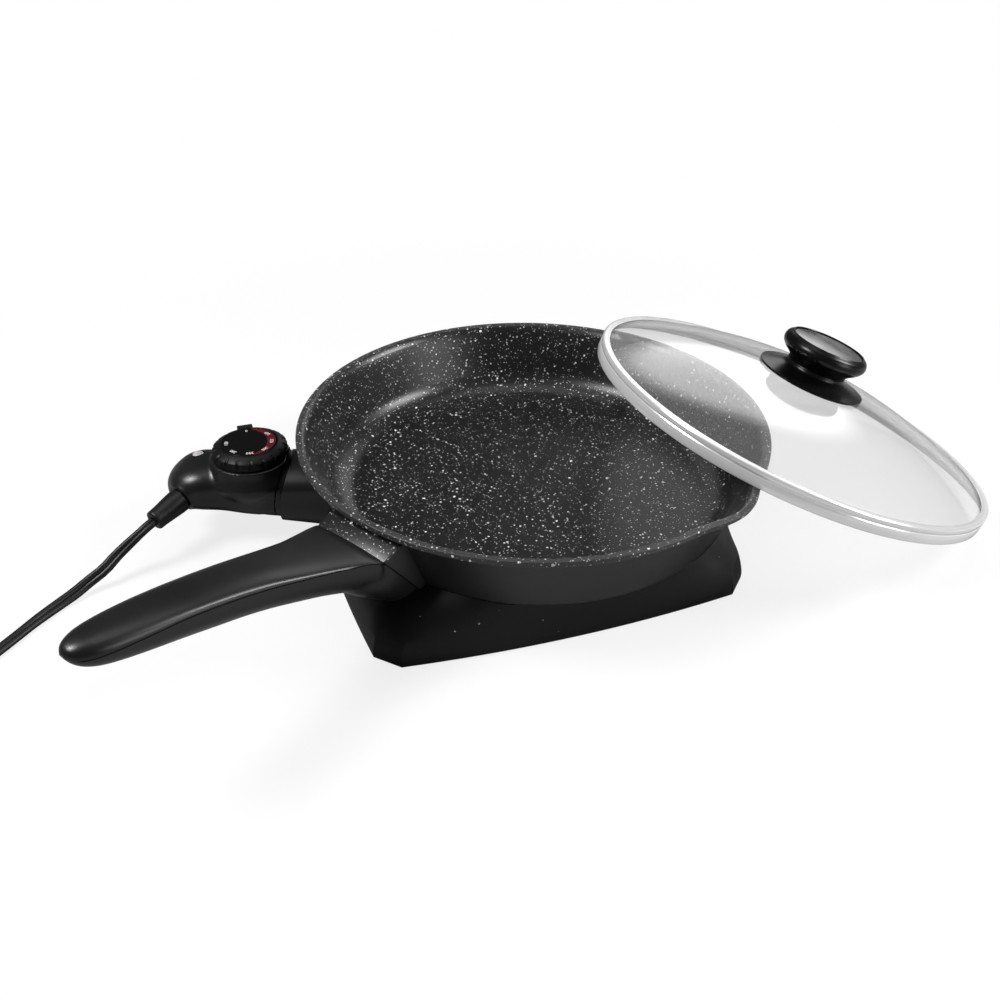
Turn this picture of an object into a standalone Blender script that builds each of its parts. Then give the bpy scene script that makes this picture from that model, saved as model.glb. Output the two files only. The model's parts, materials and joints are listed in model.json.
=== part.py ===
# Electric skillet: a round coated pan on a flared square base, with a moulded handle,
# a plug-in heat control on a flat lead, and a glass lid that stands beside it.
# Metres, +Z up.  The origin is the centre of the cooking surface.
import math

import bpy
import bmesh
from mathutils import Matrix, Vector

# Clearances and counts
GAP = 0.0003
RUNNING_GAP = 0.0005
OVERRUN = 0.003
MERGE = 0.00002
SHARP_ANGLE = math.radians(32)
PAN_STEPS = 72
LID_STEPS = 60
KNOB_STEPS = 32
SMALL_STEPS = 14
FILLET_STEPS = 4

# Pan
RIM_RADIUS = 0.145
RIM_WIDTH = 0.0035
RIM_EDGE = 0.0006
LIP_HEIGHT = 0.0035
LIP_OVERHANG = 0.003
PAN_DEPTH = 0.043
PAN_WALL = 0.0036
PAN_FLOOR = 0.004
WALL_LEAN = math.radians(21.2)
FLOOR_FILLET = 0.020
UNDER_FILLET = 0.008
SPOUT_TURN = 0.0
SPOUT_HALF_TURN = math.radians(15)
SPOUT_REACH = 0.0066
SPOUT_START = 0.010

# Counter under the feet, measured from the rim
STAND_HEIGHT = 0.0765
COUNTER = PAN_DEPTH - STAND_HEIGHT

# Handle: a cast lug on the pan, an upper grip and a lower shell with a screw boss
HANDLE_TURN = math.radians(-90)
LUG_WIDTH = 0.0517
LUG_REACH = 0.0095
LUG_TOP_DROP = 0.005
LUG_SLOPE = 0.004
LUG_HEIGHT = 0.034
LUG_FOOT_INSET = 0.0164
HANDLE_LENGTH = 0.157
HANDLE_RISE = 0.0362
HANDLE_DEPTH = 0.0262
GRIP_POWER = 2.3
GRIP_SIDE_POINTS = 12
BOSS_INSET = 0.0195
BOSS_REACH = 0.0270
BOSS_LOW = -0.0195
BOSS_RISE = 0.036
BOSS_POWER = 3.6
BOSS_TOP_DROP = 0.0012
HANDLE_SCREW_RADIUS = 0.002
HANDLE_SCREW_HEAD = 0.0038
HANDLE_SCREW_HEAD_HEIGHT = 0.0022
HANDLE_SCREW_SEAT = 0.004
HANDLE_SCREW_TIP = 0.0315
HANDLE_SCREW_INSET = 0.009
# Along the boss from under the pan out to the grip, half width as a share of half the lug's
# width, and bottom as a share of the boss's rise
BOSS_SHARES = (
    (0.00, 0.96, 0.00), (0.20, 0.98, 0.19), (0.42, 0.98, 0.40), (0.62, 0.93, 0.61),
    (0.80, 0.80, 0.78), (1.00, 0.58, 1.00),
)
# Along the handle, half width, crown, seam and belly.  The first is a share of the length, the
# second of half the lug's width, the next two of the rise and the last of the depth under it.
HANDLE_SHARES = (
    (0.000, 1.000, 0.045, -0.010, 1.000),
    (0.045, 0.920, 0.125, 0.065, 0.900),
    (0.095, 0.855, 0.190, 0.118, 0.770),
    (0.190, 0.740, 0.310, 0.212, 0.530),
    (0.290, 0.672, 0.450, 0.330, 0.310),
    (0.385, 0.620, 0.580, 0.445, 0.110),
    (0.480, 0.585, 0.690, 0.550, -0.060),
    (0.580, 0.560, 0.785, 0.645, -0.210),
    (0.675, 0.540, 0.865, 0.718, -0.360),
    (0.770, 0.525, 0.930, 0.765, -0.510),
    (0.860, 0.485, 0.980, 0.795, -0.655),
    (0.925, 0.420, 1.000, 0.810, -0.780),
    (0.965, 0.325, 0.985, 0.820, -0.900),
    (0.988, 0.215, 0.950, 0.830, -1.020),
    (1.000, 0.090, 0.890, 0.840, -1.130),
)

# Base: a hollow skirt with bowed sides and clipped corners, its cover, feet and screws
BASE_INSET = 0.030
BASE_BOW = 0.006
BASE_CLIP = 0.0182
BASE_TURN = math.radians(58.5)
BASE_SHIFT = 0.0125
BASE_WALL = 0.003
BASE_LIFT = 0.001
BASE_TOP = 0.003
BASE_ROOF = 0.0035
BASE_MOUTH_INSET = 0.0385
BASE_SIDE_STEPS = 6
# Height share from the lower edge to the top, width share there, and how much the corners keep
# of their reach past the pan's foot
BASE_CIRCLE_INSET = 0.0195
BASE_SHARES = (
    (0.000, 1.000, 1.00), (0.120, 1.000, 1.00), (0.310, 0.992, 0.98), (0.510, 0.984, 0.89),
    (0.670, 0.977, 0.74), (0.835, 0.972, 0.47), (1.000, 0.965, 0.05),
)
COVER_THICKNESS = 0.0012
COVER_LIFT = 0.0007
FOOT_RADIUS = 0.007
FOOT_INSET = 0.024
FOOT_STEM_RADIUS = 0.0022
FOOT_BUTTON_RADIUS = 0.0031
FOOT_BUTTON_HEIGHT = 0.0022
PILLAR_RADIUS = 0.0052
PILLAR_INSET = 0.022
COVER_SCREW_RADIUS = 0.0019
COVER_SCREW_HEAD = 0.0036
COVER_SCREW_HEAD_HEIGHT = 0.0009
COVER_SCREW_BITE = 0.011

# Heating loop under the pan, its cold pins and the block that holds them
CONTROL_TURN = math.radians(222.5)
LOOP_INSET = 0.063
LOOP_TUBE_RADIUS = 0.0032
LOOP_GAP_TURN = math.radians(22)
LOOP_STEP_TURN = math.radians(7)
PIN_RADIUS = 0.0024
PIN_SPREAD = 0.0115
PIN_INSET = 0.0272
PIN_REACH = 0.0055
PIN_TIP = 0.0012
BLOCK_INSET = 0.0105
BLOCK_THICKNESS = 0.004

# Guard round the socket; its mouth and the control's front share one rounded face
GUARD_INSET = 0.0265
GUARD_HALF_WIDTH = 0.0235
GUARD_TOP = 0.0170
GUARD_BOTTOM = -0.0298
GUARD_BOTTOM_RISE = 0.0072
GUARD_WALL = 0.0030
GUARD_POWER = 2.6
GUARD_POINTS = 28
MOUTH_REACH = 0.0133
MOUTH_RADIUS = 0.068
MOUTH_HEIGHT = -0.013
MOUTH_STEPS = 60

# Heat control: front plate with its nose, two housing shells, probe, contacts and thermostat
PROBE_RADIUS = 0.003
PROBE_DROP = 0.0082
PROBE_PAST = 0.020
PROBE_TAIL = 0.0152
PROBE_CLIP_LAP = 0.006
PROBE_CLIP_LENGTH = 0.012
PROBE_CLIP_WALL = 0.0012
FRONT_PLATE = 0.0028
NOSE_LENGTH = 0.0175
NOSE_ROOT = 0.0009
NOSE_HALF_WIDTH = 0.0168
NOSE_TOP = 0.0035
NOSE_BOTTOM = -0.0121
SLEEVE_WALL = 0.0006
SLEEVE_REACH = 0.0062
HOUSING_LAP = 0.0103
HOUSING_LENGTH = 0.0820
HOUSING_HALF_WIDTH = 0.0232
HOUSING_TOP = 0.0160
HOUSING_BOTTOM = 0.0192
HOUSING_AXIS = 0.001
HOUSING_WALL = 0.0024
HOUSING_POWER = 2.7
HOUSING_POINTS = 28
# Along the housing, half width, top and bottom, each a share of its own size above
HOUSING_SHARES = (
    (0.000, 0.900, 0.990, 1.160),
    (0.130, 0.920, 0.990, 1.110),
    (0.229, 0.940, 1.000, 1.030),
    (0.338, 0.985, 1.000, 0.950),
    (0.445, 0.970, 1.000, 0.870),
    (0.543, 0.930, 0.990, 0.790),
    (0.628, 0.940, 1.040, 0.730),
    (0.707, 0.980, 1.070, 0.680),
    (0.787, 0.975, 1.020, 0.620),
    (0.866, 0.880, 0.890, 0.540),
    (0.933, 0.680, 0.660, 0.430),
    (0.976, 0.450, 0.450, 0.310),
    (1.000, 0.200, 0.220, 0.170),
)
DIAL_REACH = 0.0177
PEDESTAL_RADIUS = 0.0245
PEDESTAL_FOOT_RADIUS = 0.0288
PEDESTAL_TOP = 0.0208
PEDESTAL_WAIST = 0.009
PEDESTAL_BOTTOM = -0.008
PEDESTAL_TUCK = 0.87
# Down the pedestal to its waist, radius and fall, each a share of its own size above
PEDESTAL_SHARES = (
    (0.05, 0.17), (0.15, 0.33), (0.31, 0.50), (0.50, 0.67), (0.73, 0.83), (1.00, 1.00),
    (0.80, 1.34),
)
POINTER_REACH = 0.0295
POINTER_INSET = 0.0232
POINTER_WIDTH = 0.010
POINTER_TURN = math.radians(-74)
POINTER_RISE = 0.0052
DIAL_RADIUS = 0.023
DIAL_FACE_RADIUS = 0.017
DIAL_HEIGHT = 0.0084
DIAL_CHAMFER = 0.0033
DIAL_NOTCHES = 18
DIAL_NOTCH_STEPS = 4
DIAL_NOTCH_DEPTH = 0.0009
FACE_THICKNESS = 0.0008
SHAFT_RADIUS = 0.003
SHAFT_BITE = 0.005
CAM_RADIUS = 0.0055
CAM_HEIGHT = 0.002
CAM_BOTTOM = 0.0030
FRAME_REACH = 0.0069
FRAME_SPACE = 0.0094
FRAME_HALF_WIDTH = 0.0088
FRAME_SHEET = 0.0012
FRAME_LEG = 0.0012
STACK_LENGTH = 0.006
STACK_HALF_WIDTH = 0.0042
STRIP_HALF_WIDTH = 0.0028
STRIP_THICKNESS = 0.0008
STRIP_SPACE = 0.0014
BLADE_SHORT = 0.005
STACK_CAP = 0.0012
LENS_INSET = 0.019
LENS_SIDE = -0.0084
LENS_RADIUS = 0.0037
LENS_FLANGE = 0.0046
LENS_RISE = 0.0016
LENS_SHEET = 0.0008
LENS_SHARES = ((0.0, 1.0), (0.6, 0.8), (1.0, 0.0))
LAMP_SHARES = ((0.0, 1.0), (0.6, 0.95), (1.0, 0.75), (1.0, 0.0), (0.0, 0.0))
LAMP_RADIUS = 0.0026
LAMP_LENGTH = 0.0072
LAMP_POST_RADIUS = 0.0034
CONTROL_POST_RADIUS = 0.0036
CONTROL_SCREW_RADIUS = 0.0013
CONTROL_SCREW_HEAD = 0.0024
CONTROL_SCREW_HEAD_HEIGHT = 0.0016
CONTROL_SCREW_BITE = 0.006
CONTROL_SCREW_SEAT = 0.0095
CONTROL_SCREW_SIDE = 0.0150
CONTROL_SCREW_REACH = 0.0117
CONTROL_SCREW_INSET = 0.014

# Strain relief, which points back and aside from the control
RELIEF_INSET = 0.011
RELIEF_SIDE = 0.0180
RELIEF_LEVEL = -0.0002
RELIEF_RUN = (0.0134, 0.0178, -0.0043)
RELIEF_START_RADIUS = 0.0083
RELIEF_END_RADIUS = 0.0064
RELIEF_RING = 0.0006
NECK_BACK = 0.021
NECK_RADIUS = 0.0125
RELIEF_LENGTH = 0.0225

# Flat lead: its own size, the route of its free stretch in world metres, its coil and its plug
CORD_WIDTH = 0.0073
CORD_THICKNESS = 0.0038
CORD_STEP = 0.0055
CORD_TWIST = math.radians(50)
CORD_TWIST_SHARE = 0.62
# Places along the free stretch in world metres, with the fall so far as a share of the whole
CORD_ROUTE = (
    (-0.1509, -0.2072), (-0.1507, -0.2190), (-0.1526, -0.2283), (-0.1524, -0.2390),
    (-0.1518, -0.2514), (-0.1492, -0.2664), (-0.1445, -0.2836), (-0.1382, -0.3080),
)
CORD_FALL_SHARES = (0.45, 0.66, 0.81, 0.915, 0.975, 0.995, 1.0, 1.0)
CORD_STRAIGHT = 0.005
COIL_CENTRE = (-0.1790, -0.3390)
COIL_RADIUS = 0.045
COIL_PITCH = 0.0080
COIL_LAYER_STEP = 0.0044
COIL_TURNS_EACH_WAY = 1.75
COIL_POINTS_PER_TURN = 24
COIL_TAIL = 0.020
PLUG_RELIEF_LENGTH = 0.012
PLUG_LENGTH = 0.024
PLUG_HALF_WIDTH = 0.0115
PLUG_HALF_HEIGHT = 0.0064
PLUG_POINTS = 20
BLADE_LENGTH = 0.0165
BLADE_WIDTH = 0.0064
BLADE_THICKNESS = 0.0015
BLADE_SPACING = 0.0127
# Along the plug from its cord end, half width and half height, as shares of the body's own
PLUG_SHARES = (
    (0.000, 0.430, 0.520), (0.300, 0.520, 0.620), (0.360, 0.800, 0.860), (0.460, 0.960, 0.960),
    (0.600, 1.000, 1.000), (0.960, 0.980, 1.000), (1.000, 0.930, 0.950),
)

# Lid: a glass dome in a steel band, with a two-part knob, leaning off the pan's side
LID_INSET = 0.007
LID_OFFSET = 0.0361
LID_TURN = math.radians(55.4)
LID_LEAN_TURN = math.radians(54.8)
LEAN_STEPS = 40
BAND_SHEET = 0.0009
BAND_FLANGE = 0.0047
GLASS_EDGE_GAP = 0.0005
GLASS_THICKNESS = 0.0040
GLASS_EDGE_HEIGHT = 0.0080
DOME_RISE = 0.0285
GLASS_RINGS = 6
GLASS_SPREAD = 0.8
KNOB_FOOT_RADIUS = 0.0358
KNOB_FOOT_EDGE = 0.0014
KNOB_NECK_RADIUS = 0.0200
KNOB_NECK_HEIGHT = 0.0090
KNOB_HEAD_RADIUS = 0.0284
KNOB_HEAD_HEIGHT = 0.0163
KNOB_TOP_RADIUS = 0.0252
KNOB_TOP_WALL = 0.0014
KNOB_RECESS = 0.0012
# Down the knob's foot and its head, radius and fall, each a share of its own size above
KNOB_FOOT_SHARES = ((0.04, 0.28), (0.16, 0.48), (0.36, 0.66), (0.64, 0.84), (1.00, 1.00))
KNOB_HEAD_SHARES = (
    (0.965, 0.14), (1.000, 0.32), (0.975, 0.50), (0.895, 0.66), (0.785, 0.80), (0.704, 0.93),
)
CAP_THICKNESS = 0.0008
LID_SCREW_RADIUS = 0.0025
LID_SCREW_HEAD = 0.0050
LID_SCREW_HEAD_HEIGHT = 0.0026
LID_SCREW_BITE = 0.008
WASHER_RADIUS = 0.0110
WASHER_THICKNESS = 0.0015

# Heights and places that follow from the sizes above
LUG_END = RIM_RADIUS + LUG_REACH
LUG_FOOT = RIM_RADIUS - LUG_FOOT_INSET
BOSS_START = RIM_RADIUS - BOSS_INSET
BOSS_END = RIM_RADIUS + BOSS_REACH
BASE_HALF = RIM_RADIUS - BASE_INSET
BASE_MOUTH = RIM_RADIUS - BASE_MOUTH_INSET
BASE_FOOT_CIRCLE = RIM_RADIUS - BASE_CIRCLE_INSET
LOOP_RADIUS = RIM_RADIUS - LOOP_INSET
PILLAR_CIRCLE = LOOP_RADIUS - PILLAR_INSET
PROBE_START = LOOP_RADIUS - PROBE_PAST
PROBE_CLIP_START = LOOP_RADIUS + PROBE_CLIP_LAP
PIN_START = RIM_RADIUS - PIN_INSET
PIN_END = RIM_RADIUS + PIN_REACH
BLOCK_START = RIM_RADIUS - BLOCK_INSET
GUARD_START = RIM_RADIUS - GUARD_INSET
MOUTH_END = RIM_RADIUS + MOUTH_REACH
PROBE_END = MOUTH_END + PROBE_TAIL
NOSE_START = MOUTH_END - NOSE_LENGTH
NOSE_END = MOUTH_END + NOSE_ROOT
SLEEVE_END = MOUTH_END + SLEEVE_REACH
HOUSING_START = MOUTH_END - HOUSING_LAP
HOUSING_END = HOUSING_START + HOUSING_LENGTH
DIAL_CENTRE = MOUTH_END + DIAL_REACH
FRAME_START = MOUTH_END + FRAME_REACH
LENS_ALONG = HOUSING_END - LENS_INSET
FRAME_END = LENS_ALONG - LAMP_POST_RADIUS - FRAME_SPACE
CONTROL_SCREW_ALONG = MOUTH_END + CONTROL_SCREW_REACH
CONTROL_SCREW_REAR = HOUSING_END - CONTROL_SCREW_INSET
RELIEF_START = (HOUSING_END - RELIEF_INSET, RELIEF_SIDE, RELIEF_LEVEL)
LID_RADIUS = RIM_RADIUS - LID_INSET
LID_REACH = RIM_RADIUS + LID_OFFSET
GLASS_EDGE = LID_RADIUS - BAND_SHEET - GLASS_EDGE_GAP
UNDERSIDE = -PAN_FLOOR
LOOP_HEIGHT = UNDERSIDE - GAP - LOOP_TUBE_RADIUS
PROBE_HEIGHT = -PROBE_DROP
BASE_BOTTOM = COUNTER + BASE_LIFT
COVER_BOTTOM = BASE_BOTTOM + COVER_LIFT
COVER_TOP = COVER_BOTTOM + COVER_THICKNESS
KNOB_START = PEDESTAL_TOP + RUNNING_GAP


def collection(name):
    """A new collection in the scene."""
    group = bpy.data.collections.new(name)
    bpy.context.scene.collection.children.link(group)
    return group


for leftover in list(bpy.data.objects):
    bpy.data.objects.remove(leftover)
PARTS = collection("electric_skillet")
CUTTERS = collection("cutters")


def finish(name, colour, roughness, metallic=0.0, clear=0.0):
    """A Principled material."""
    look = bpy.data.materials.new(name)
    look.use_nodes = True
    shader = look.node_tree.nodes["Principled BSDF"]
    shader.inputs["Base Color"].default_value = (*colour, 1)
    shader.inputs["Roughness"].default_value = roughness
    shader.inputs["Metallic"].default_value = metallic
    shader.inputs["Transmission Weight"].default_value = clear
    return look


COATED = finish("speckled_coating", (0.050, 0.050, 0.052), 0.42, 0.1)
SKIRT_BLACK = finish("base_black", (0.018, 0.018, 0.019), 0.48)
GRIP_BLACK = finish("handle_black", (0.016, 0.016, 0.017), 0.38)
CONTROL_BLACK = finish("control_black", (0.020, 0.020, 0.021), 0.42)
KNOB_BLACK = finish("knob_black", (0.012, 0.012, 0.012), 0.25)
DIAL_BLACK = finish("dial_black", (0.010, 0.010, 0.010), 0.30)
DISC_GREY = finish("knob_disc_grey", (0.42, 0.42, 0.43), 0.35, 0.8)
STEEL = finish("steel", (0.62, 0.62, 0.63), 0.28, 1.0)
ZINC = finish("zinc_plate", (0.50, 0.50, 0.51), 0.40, 1.0)
BRASS = finish("brass", (0.62, 0.47, 0.22), 0.35, 1.0)
CERAMIC = finish("ceramic", (0.78, 0.76, 0.70), 0.60)
GLASS = finish("clear_glass", (0.95, 0.97, 0.97), 0.03, 0.0, 1.0)
LENS = finish("lens_clear", (0.85, 0.80, 0.78), 0.10, 0.0, 0.8)
AMBER = finish("lamp_amber", (0.85, 0.35, 0.15), 0.20)
RUBBER = finish("foot_rubber", (0.025, 0.025, 0.025), 0.80)
CORD_BLACK = finish("cord_black", (0.015, 0.015, 0.015), 0.50)


def add(name, mesh, look=None, frame=None, home=None):
    """A new object in its collection, placed by the empty it hangs on."""
    item = bpy.data.objects.new(name, mesh)
    (home or PARTS).objects.link(item)
    if look:
        mesh.materials.append(look)
    if home is CUTTERS:
        item.hide_render = True
        item.display_type = "WIRE"
    item.parent = frame
    return item


def empty(name, place, frame=None):
    """An empty that places the pieces hung on it."""
    item = add(name, None, frame=frame)
    item.matrix_local = place
    return item


def settle(item):
    """Applies the item's modifiers and shades it smooth between its sharp edges."""
    bpy.context.view_layer.update()
    graph = bpy.context.evaluated_depsgraph_get()
    mesh = bpy.data.meshes.new_from_object(item.evaluated_get(graph))
    item.modifiers.clear()
    item.data = mesh
    mesh.shade_smooth()
    mesh.set_sharp_from_angle(angle=SHARP_ANGLE)
    return item


def combine(item, others, operation):
    """Adds Boolean modifiers that join, cut or keep the item by the others, then applies them."""
    for other in others:
        step = item.modifiers.new(other.name, "BOOLEAN")
        step.operation = operation
        step.solver = "EXACT"
        step.object = other
    return settle(item)


def joined(item, others):
    return combine(item, others, "UNION")


def cut(item, others):
    return combine(item, others, "DIFFERENCE")


def kept(item, others):
    return combine(item, others, "INTERSECT")


def turned(name, profile, look=None, frame=None, home=None, ring=False, steps=SMALL_STEPS):
    """A profile of (radius, height) points, outer side downward, turned about the Z axis."""
    count = len(profile)
    edges = [(i, i + 1) for i in range(count - 1)]
    if ring:
        edges.append((count - 1, 0))
    mesh = bpy.data.meshes.new(name)
    mesh.from_pydata([(radius, 0, height) for radius, height in profile], edges, [])
    item = add(name, mesh, look, frame, home)
    screw = item.modifiers.new("turn", "SCREW")
    screw.steps = steps
    screw.render_steps = steps
    screw.use_merge_vertices = True
    screw.merge_threshold = MERGE
    return settle(item)


def loft(name, rings, look=None, frame=None, home=None):
    """A closed skin over rings of equal counts, with flat ends."""
    mesh = bpy.data.meshes.new(name)
    shape = bmesh.new()
    rows = [[shape.verts.new(point) for point in ring] for ring in rings]
    count = len(rows[0])
    for near, far in zip(rows, rows[1:]):
        for i in range(count):
            j = (i + 1) % count
            shape.faces.new((near[i], near[j], far[j], far[i]))
    shape.faces.new(rows[0][::-1])
    shape.faces.new(rows[-1])
    bmesh.ops.recalc_face_normals(shape, faces=shape.faces)
    shape.to_mesh(mesh)
    shape.free()
    item = add(name, mesh, look, frame, home)
    mesh.shade_smooth()
    mesh.set_sharp_from_angle(angle=SHARP_ANGLE)
    return item


def box(name, low, high, look=None, frame=None, home=None, edge=0.0):
    """A box between two corners, its edges rounded by edge."""
    low, high = Vector(low), Vector(high)
    mesh = bpy.data.meshes.new(name)
    shape = bmesh.new()
    bmesh.ops.create_cube(shape, size=1)
    size = high - low
    bmesh.ops.scale(shape, vec=size, verts=shape.verts)
    bmesh.ops.translate(shape, vec=(low + high) / 2, verts=shape.verts)
    shape.to_mesh(mesh)
    shape.free()
    item = add(name, mesh, look, frame, home)
    if edge:
        bevel = item.modifiers.new("edges", "BEVEL")
        bevel.width = edge
        bevel.segments = 2
        settle(item)
    return item


def rod(name, start, end, radius, look=None, frame=None, home=None, end_radius=None,
        steps=SMALL_STEPS):
    """A cylinder or cone between two points."""
    start, end = Vector(start), Vector(end)
    run = end - start
    mesh = bpy.data.meshes.new(name)
    shape = bmesh.new()
    bmesh.ops.create_cone(shape, cap_ends=True, segments=steps, radius1=radius,
                          radius2=radius if end_radius is None else end_radius,
                          depth=run.length)
    turn = run.to_track_quat("Z", "Y").to_matrix().to_4x4()
    bmesh.ops.transform(shape, matrix=Matrix.Translation((start + end) / 2) @ turn,
                        verts=shape.verts)
    shape.to_mesh(mesh)
    shape.free()
    item = add(name, mesh, look, frame, home)
    mesh.shade_smooth()
    mesh.set_sharp_from_angle(angle=SHARP_ANGLE)
    return item


def on_circle(radius, turn, height=0.0):
    return Vector((radius * math.cos(turn), radius * math.sin(turn), height))


def spun(turn):
    return Matrix.Rotation(turn, 4, "Z")


def power_ring(half_width, top, bottom, axis, power, count, along):
    """A rounded section square to X: flatter than an ellipse where power is over 2."""
    points = []
    for i in range(count):
        turn = 2 * math.pi * i / count
        side, rise = math.cos(turn), math.sin(turn)
        y = half_width * math.copysign(abs(side) ** (2 / power), side)
        z = (top if rise > 0 else bottom) * math.copysign(abs(rise) ** (2 / power), rise)
        points.append(Vector((along, y, axis + z)))
    return points


# The pan's side, as a straight line from the lip down, and the wall inside it
def outer_radius(height):
    return RIM_RADIUS - LIP_OVERHANG - (PAN_DEPTH - LIP_HEIGHT - height) * math.tan(WALL_LEAN)


def inner_radius(height):
    return outer_radius(height) - PAN_WALL / math.cos(WALL_LEAN)


def foot_fillet(radius_at, floor, fillet):
    """Points of the arc from the leaning wall down to the level floor."""
    centre_height = floor + fillet
    centre = radius_at(centre_height) - fillet / math.cos(WALL_LEAN)
    points = []
    for i in range(FILLET_STEPS + 1):
        turn = -WALL_LEAN - (math.pi / 2 - WALL_LEAN) * i / FILLET_STEPS
        points.append((centre + fillet * math.cos(turn), centre_height + fillet * math.sin(turn)))
    return points


def pan_outline(grow, top):
    """The outer side of the pan below top, moved out by grow, closed at the axis."""
    def side(height):
        return outer_radius(height) + grow / math.cos(WALL_LEAN)
    foot = foot_fillet(side, UNDERSIDE - grow, UNDER_FILLET)
    return [(side(top), top)] + foot + [(0, UNDERSIDE - grow)]


def spout_pull(turn, height):
    """How far the spout draws the wall outward at a turn and a height."""
    turn = (turn - SPOUT_TURN + math.pi) % (2 * math.pi) - math.pi
    rise = min((height - SPOUT_START) / (PAN_DEPTH - SPOUT_START), 1)
    if abs(turn) > SPOUT_HALF_TURN or rise < 0:
        return 0.0
    return SPOUT_REACH * math.cos(turn / SPOUT_HALF_TURN * math.pi / 2) ** 2 * rise ** 2


def pull_spout(item):
    """Draws the upper wall outward round the spout's turn."""
    for vertex in item.data.vertices:
        radius = math.hypot(vertex.co.x, vertex.co.y)
        if radius > RIM_RADIUS / 2:
            turn = math.atan2(vertex.co.y, vertex.co.x)
            scale = 1 + spout_pull(turn, vertex.co.z) / radius
            vertex.co.x *= scale
            vertex.co.y *= scale


def pan_cavity():
    """The space inside the pan, with the flare up to the rim's inner edge."""
    lip = PAN_DEPTH - LIP_HEIGHT
    throat = RIM_RADIUS - RIM_WIDTH
    profile = [(0, PAN_DEPTH + OVERRUN), (throat, PAN_DEPTH + OVERRUN), (throat, PAN_DEPTH)]
    flare = throat - inner_radius(lip)
    for i in range(1, 3):
        share = i / 3
        profile.append((throat - flare * share ** 0.7, PAN_DEPTH - LIP_HEIGHT * share))
    profile.append((inner_radius(lip), lip))
    middle = (lip + FLOOR_FILLET) / 2
    profile.append((inner_radius(middle), middle))
    profile += foot_fillet(inner_radius, 0, FLOOR_FILLET)
    profile.append((0, 0))
    item = turned("pan_cavity", profile, home=CUTTERS, steps=PAN_STEPS)
    pull_spout(item)
    return item


def pillar_places():
    """Places of the four pillars for the base screws, clear of the probe."""
    return [on_circle(PILLAR_CIRCLE, CONTROL_TURN + math.pi / 4 + math.pi / 2 * i)
            for i in range(4)]


def lug_solid(name, grow, frame):
    """The gusset that carries the handle, its end face leaning in to the pan's foot."""
    half = LUG_WIDTH / 2 + grow
    top = PAN_DEPTH - LUG_TOP_DROP
    end_top = top - LUG_SLOPE
    low = end_top - LUG_HEIGHT
    start = LUG_END - LUG_WIDTH
    lean = (LUG_END - LUG_FOOT) / LUG_HEIGHT
    shift = grow * math.hypot(1, lean)
    above = top + grow * LUG_WIDTH / RUNNING_GAP
    side = [(start, low - grow), (LUG_FOOT + shift - grow * lean, low - grow),
            (LUG_END + shift, end_top), (LUG_END + shift, above) if grow else (RIM_RADIUS, top),
            (start, above)]
    return loft(name, [[Vector((x, y, z)) for x, z in side] for y in (-half, half)],
                frame=frame, home=CUTTERS)


def pan_body(handle_frame, control_frame):
    """The cast pan with its handle lug, pillars for the cover and a clip for the probe."""
    lip = PAN_DEPTH - LIP_HEIGHT
    profile = [(0, PAN_DEPTH), (RIM_RADIUS - RIM_EDGE, PAN_DEPTH),
               (RIM_RADIUS, PAN_DEPTH - RIM_EDGE), (RIM_RADIUS, lip + RIM_EDGE),
               (RIM_RADIUS - RIM_EDGE, lip), (outer_radius(lip), lip)]
    middle = lip / 2
    profile.append((outer_radius(middle), middle))
    profile += foot_fillet(outer_radius, UNDERSIDE, UNDER_FILLET)
    profile.append((0, UNDERSIDE))
    pan = turned("pan_body", profile, COATED, steps=PAN_STEPS)
    pull_spout(pan)
    lug = lug_solid("lug", 0.0, handle_frame)
    pillars = [rod("pillar", place + Vector((0, 0, -PAN_FLOOR / 2)),
                   place + Vector((0, 0, COVER_TOP + GAP)), PILLAR_RADIUS, home=CUTTERS)
               for place in pillar_places()]
    clip_outer = PROBE_RADIUS + RUNNING_GAP + PROBE_CLIP_WALL
    clip = box("probe_clip_block",
               (PROBE_CLIP_START, -clip_outer, PROBE_HEIGHT - clip_outer),
               (PROBE_CLIP_START + PROBE_CLIP_LENGTH, clip_outer, -PAN_FLOOR / 2),
               frame=control_frame, home=CUTTERS)
    joined(pan, [lug, clip] + pillars)
    bore = rod("probe_bore", (PROBE_CLIP_START - OVERRUN, 0, PROBE_HEIGHT),
               (PROBE_CLIP_START + PROBE_CLIP_LENGTH + OVERRUN, 0, PROBE_HEIGHT),
               PROBE_RADIUS + RUNNING_GAP, frame=control_frame, home=CUTTERS)
    holes = [rod("pillar_hole", place + Vector((0, 0, COVER_TOP - OVERRUN)),
                 place + Vector((0, 0, COVER_TOP + COVER_SCREW_BITE + GAP)),
                 COVER_SCREW_RADIUS + GAP, home=CUTTERS, steps=SMALL_STEPS // 2)
             for place in pillar_places()]
    screw_place = LUG_END - HANDLE_SCREW_INSET
    lug_hole = rod("lug_hole", (screw_place, 0, 0), (screw_place, 0, HANDLE_SCREW_TIP + GAP),
                   HANDLE_SCREW_RADIUS + GAP, frame=handle_frame, home=CUTTERS)
    cut(pan, [pan_cavity(), bore, lug_hole] + holes)
    return pan


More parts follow.
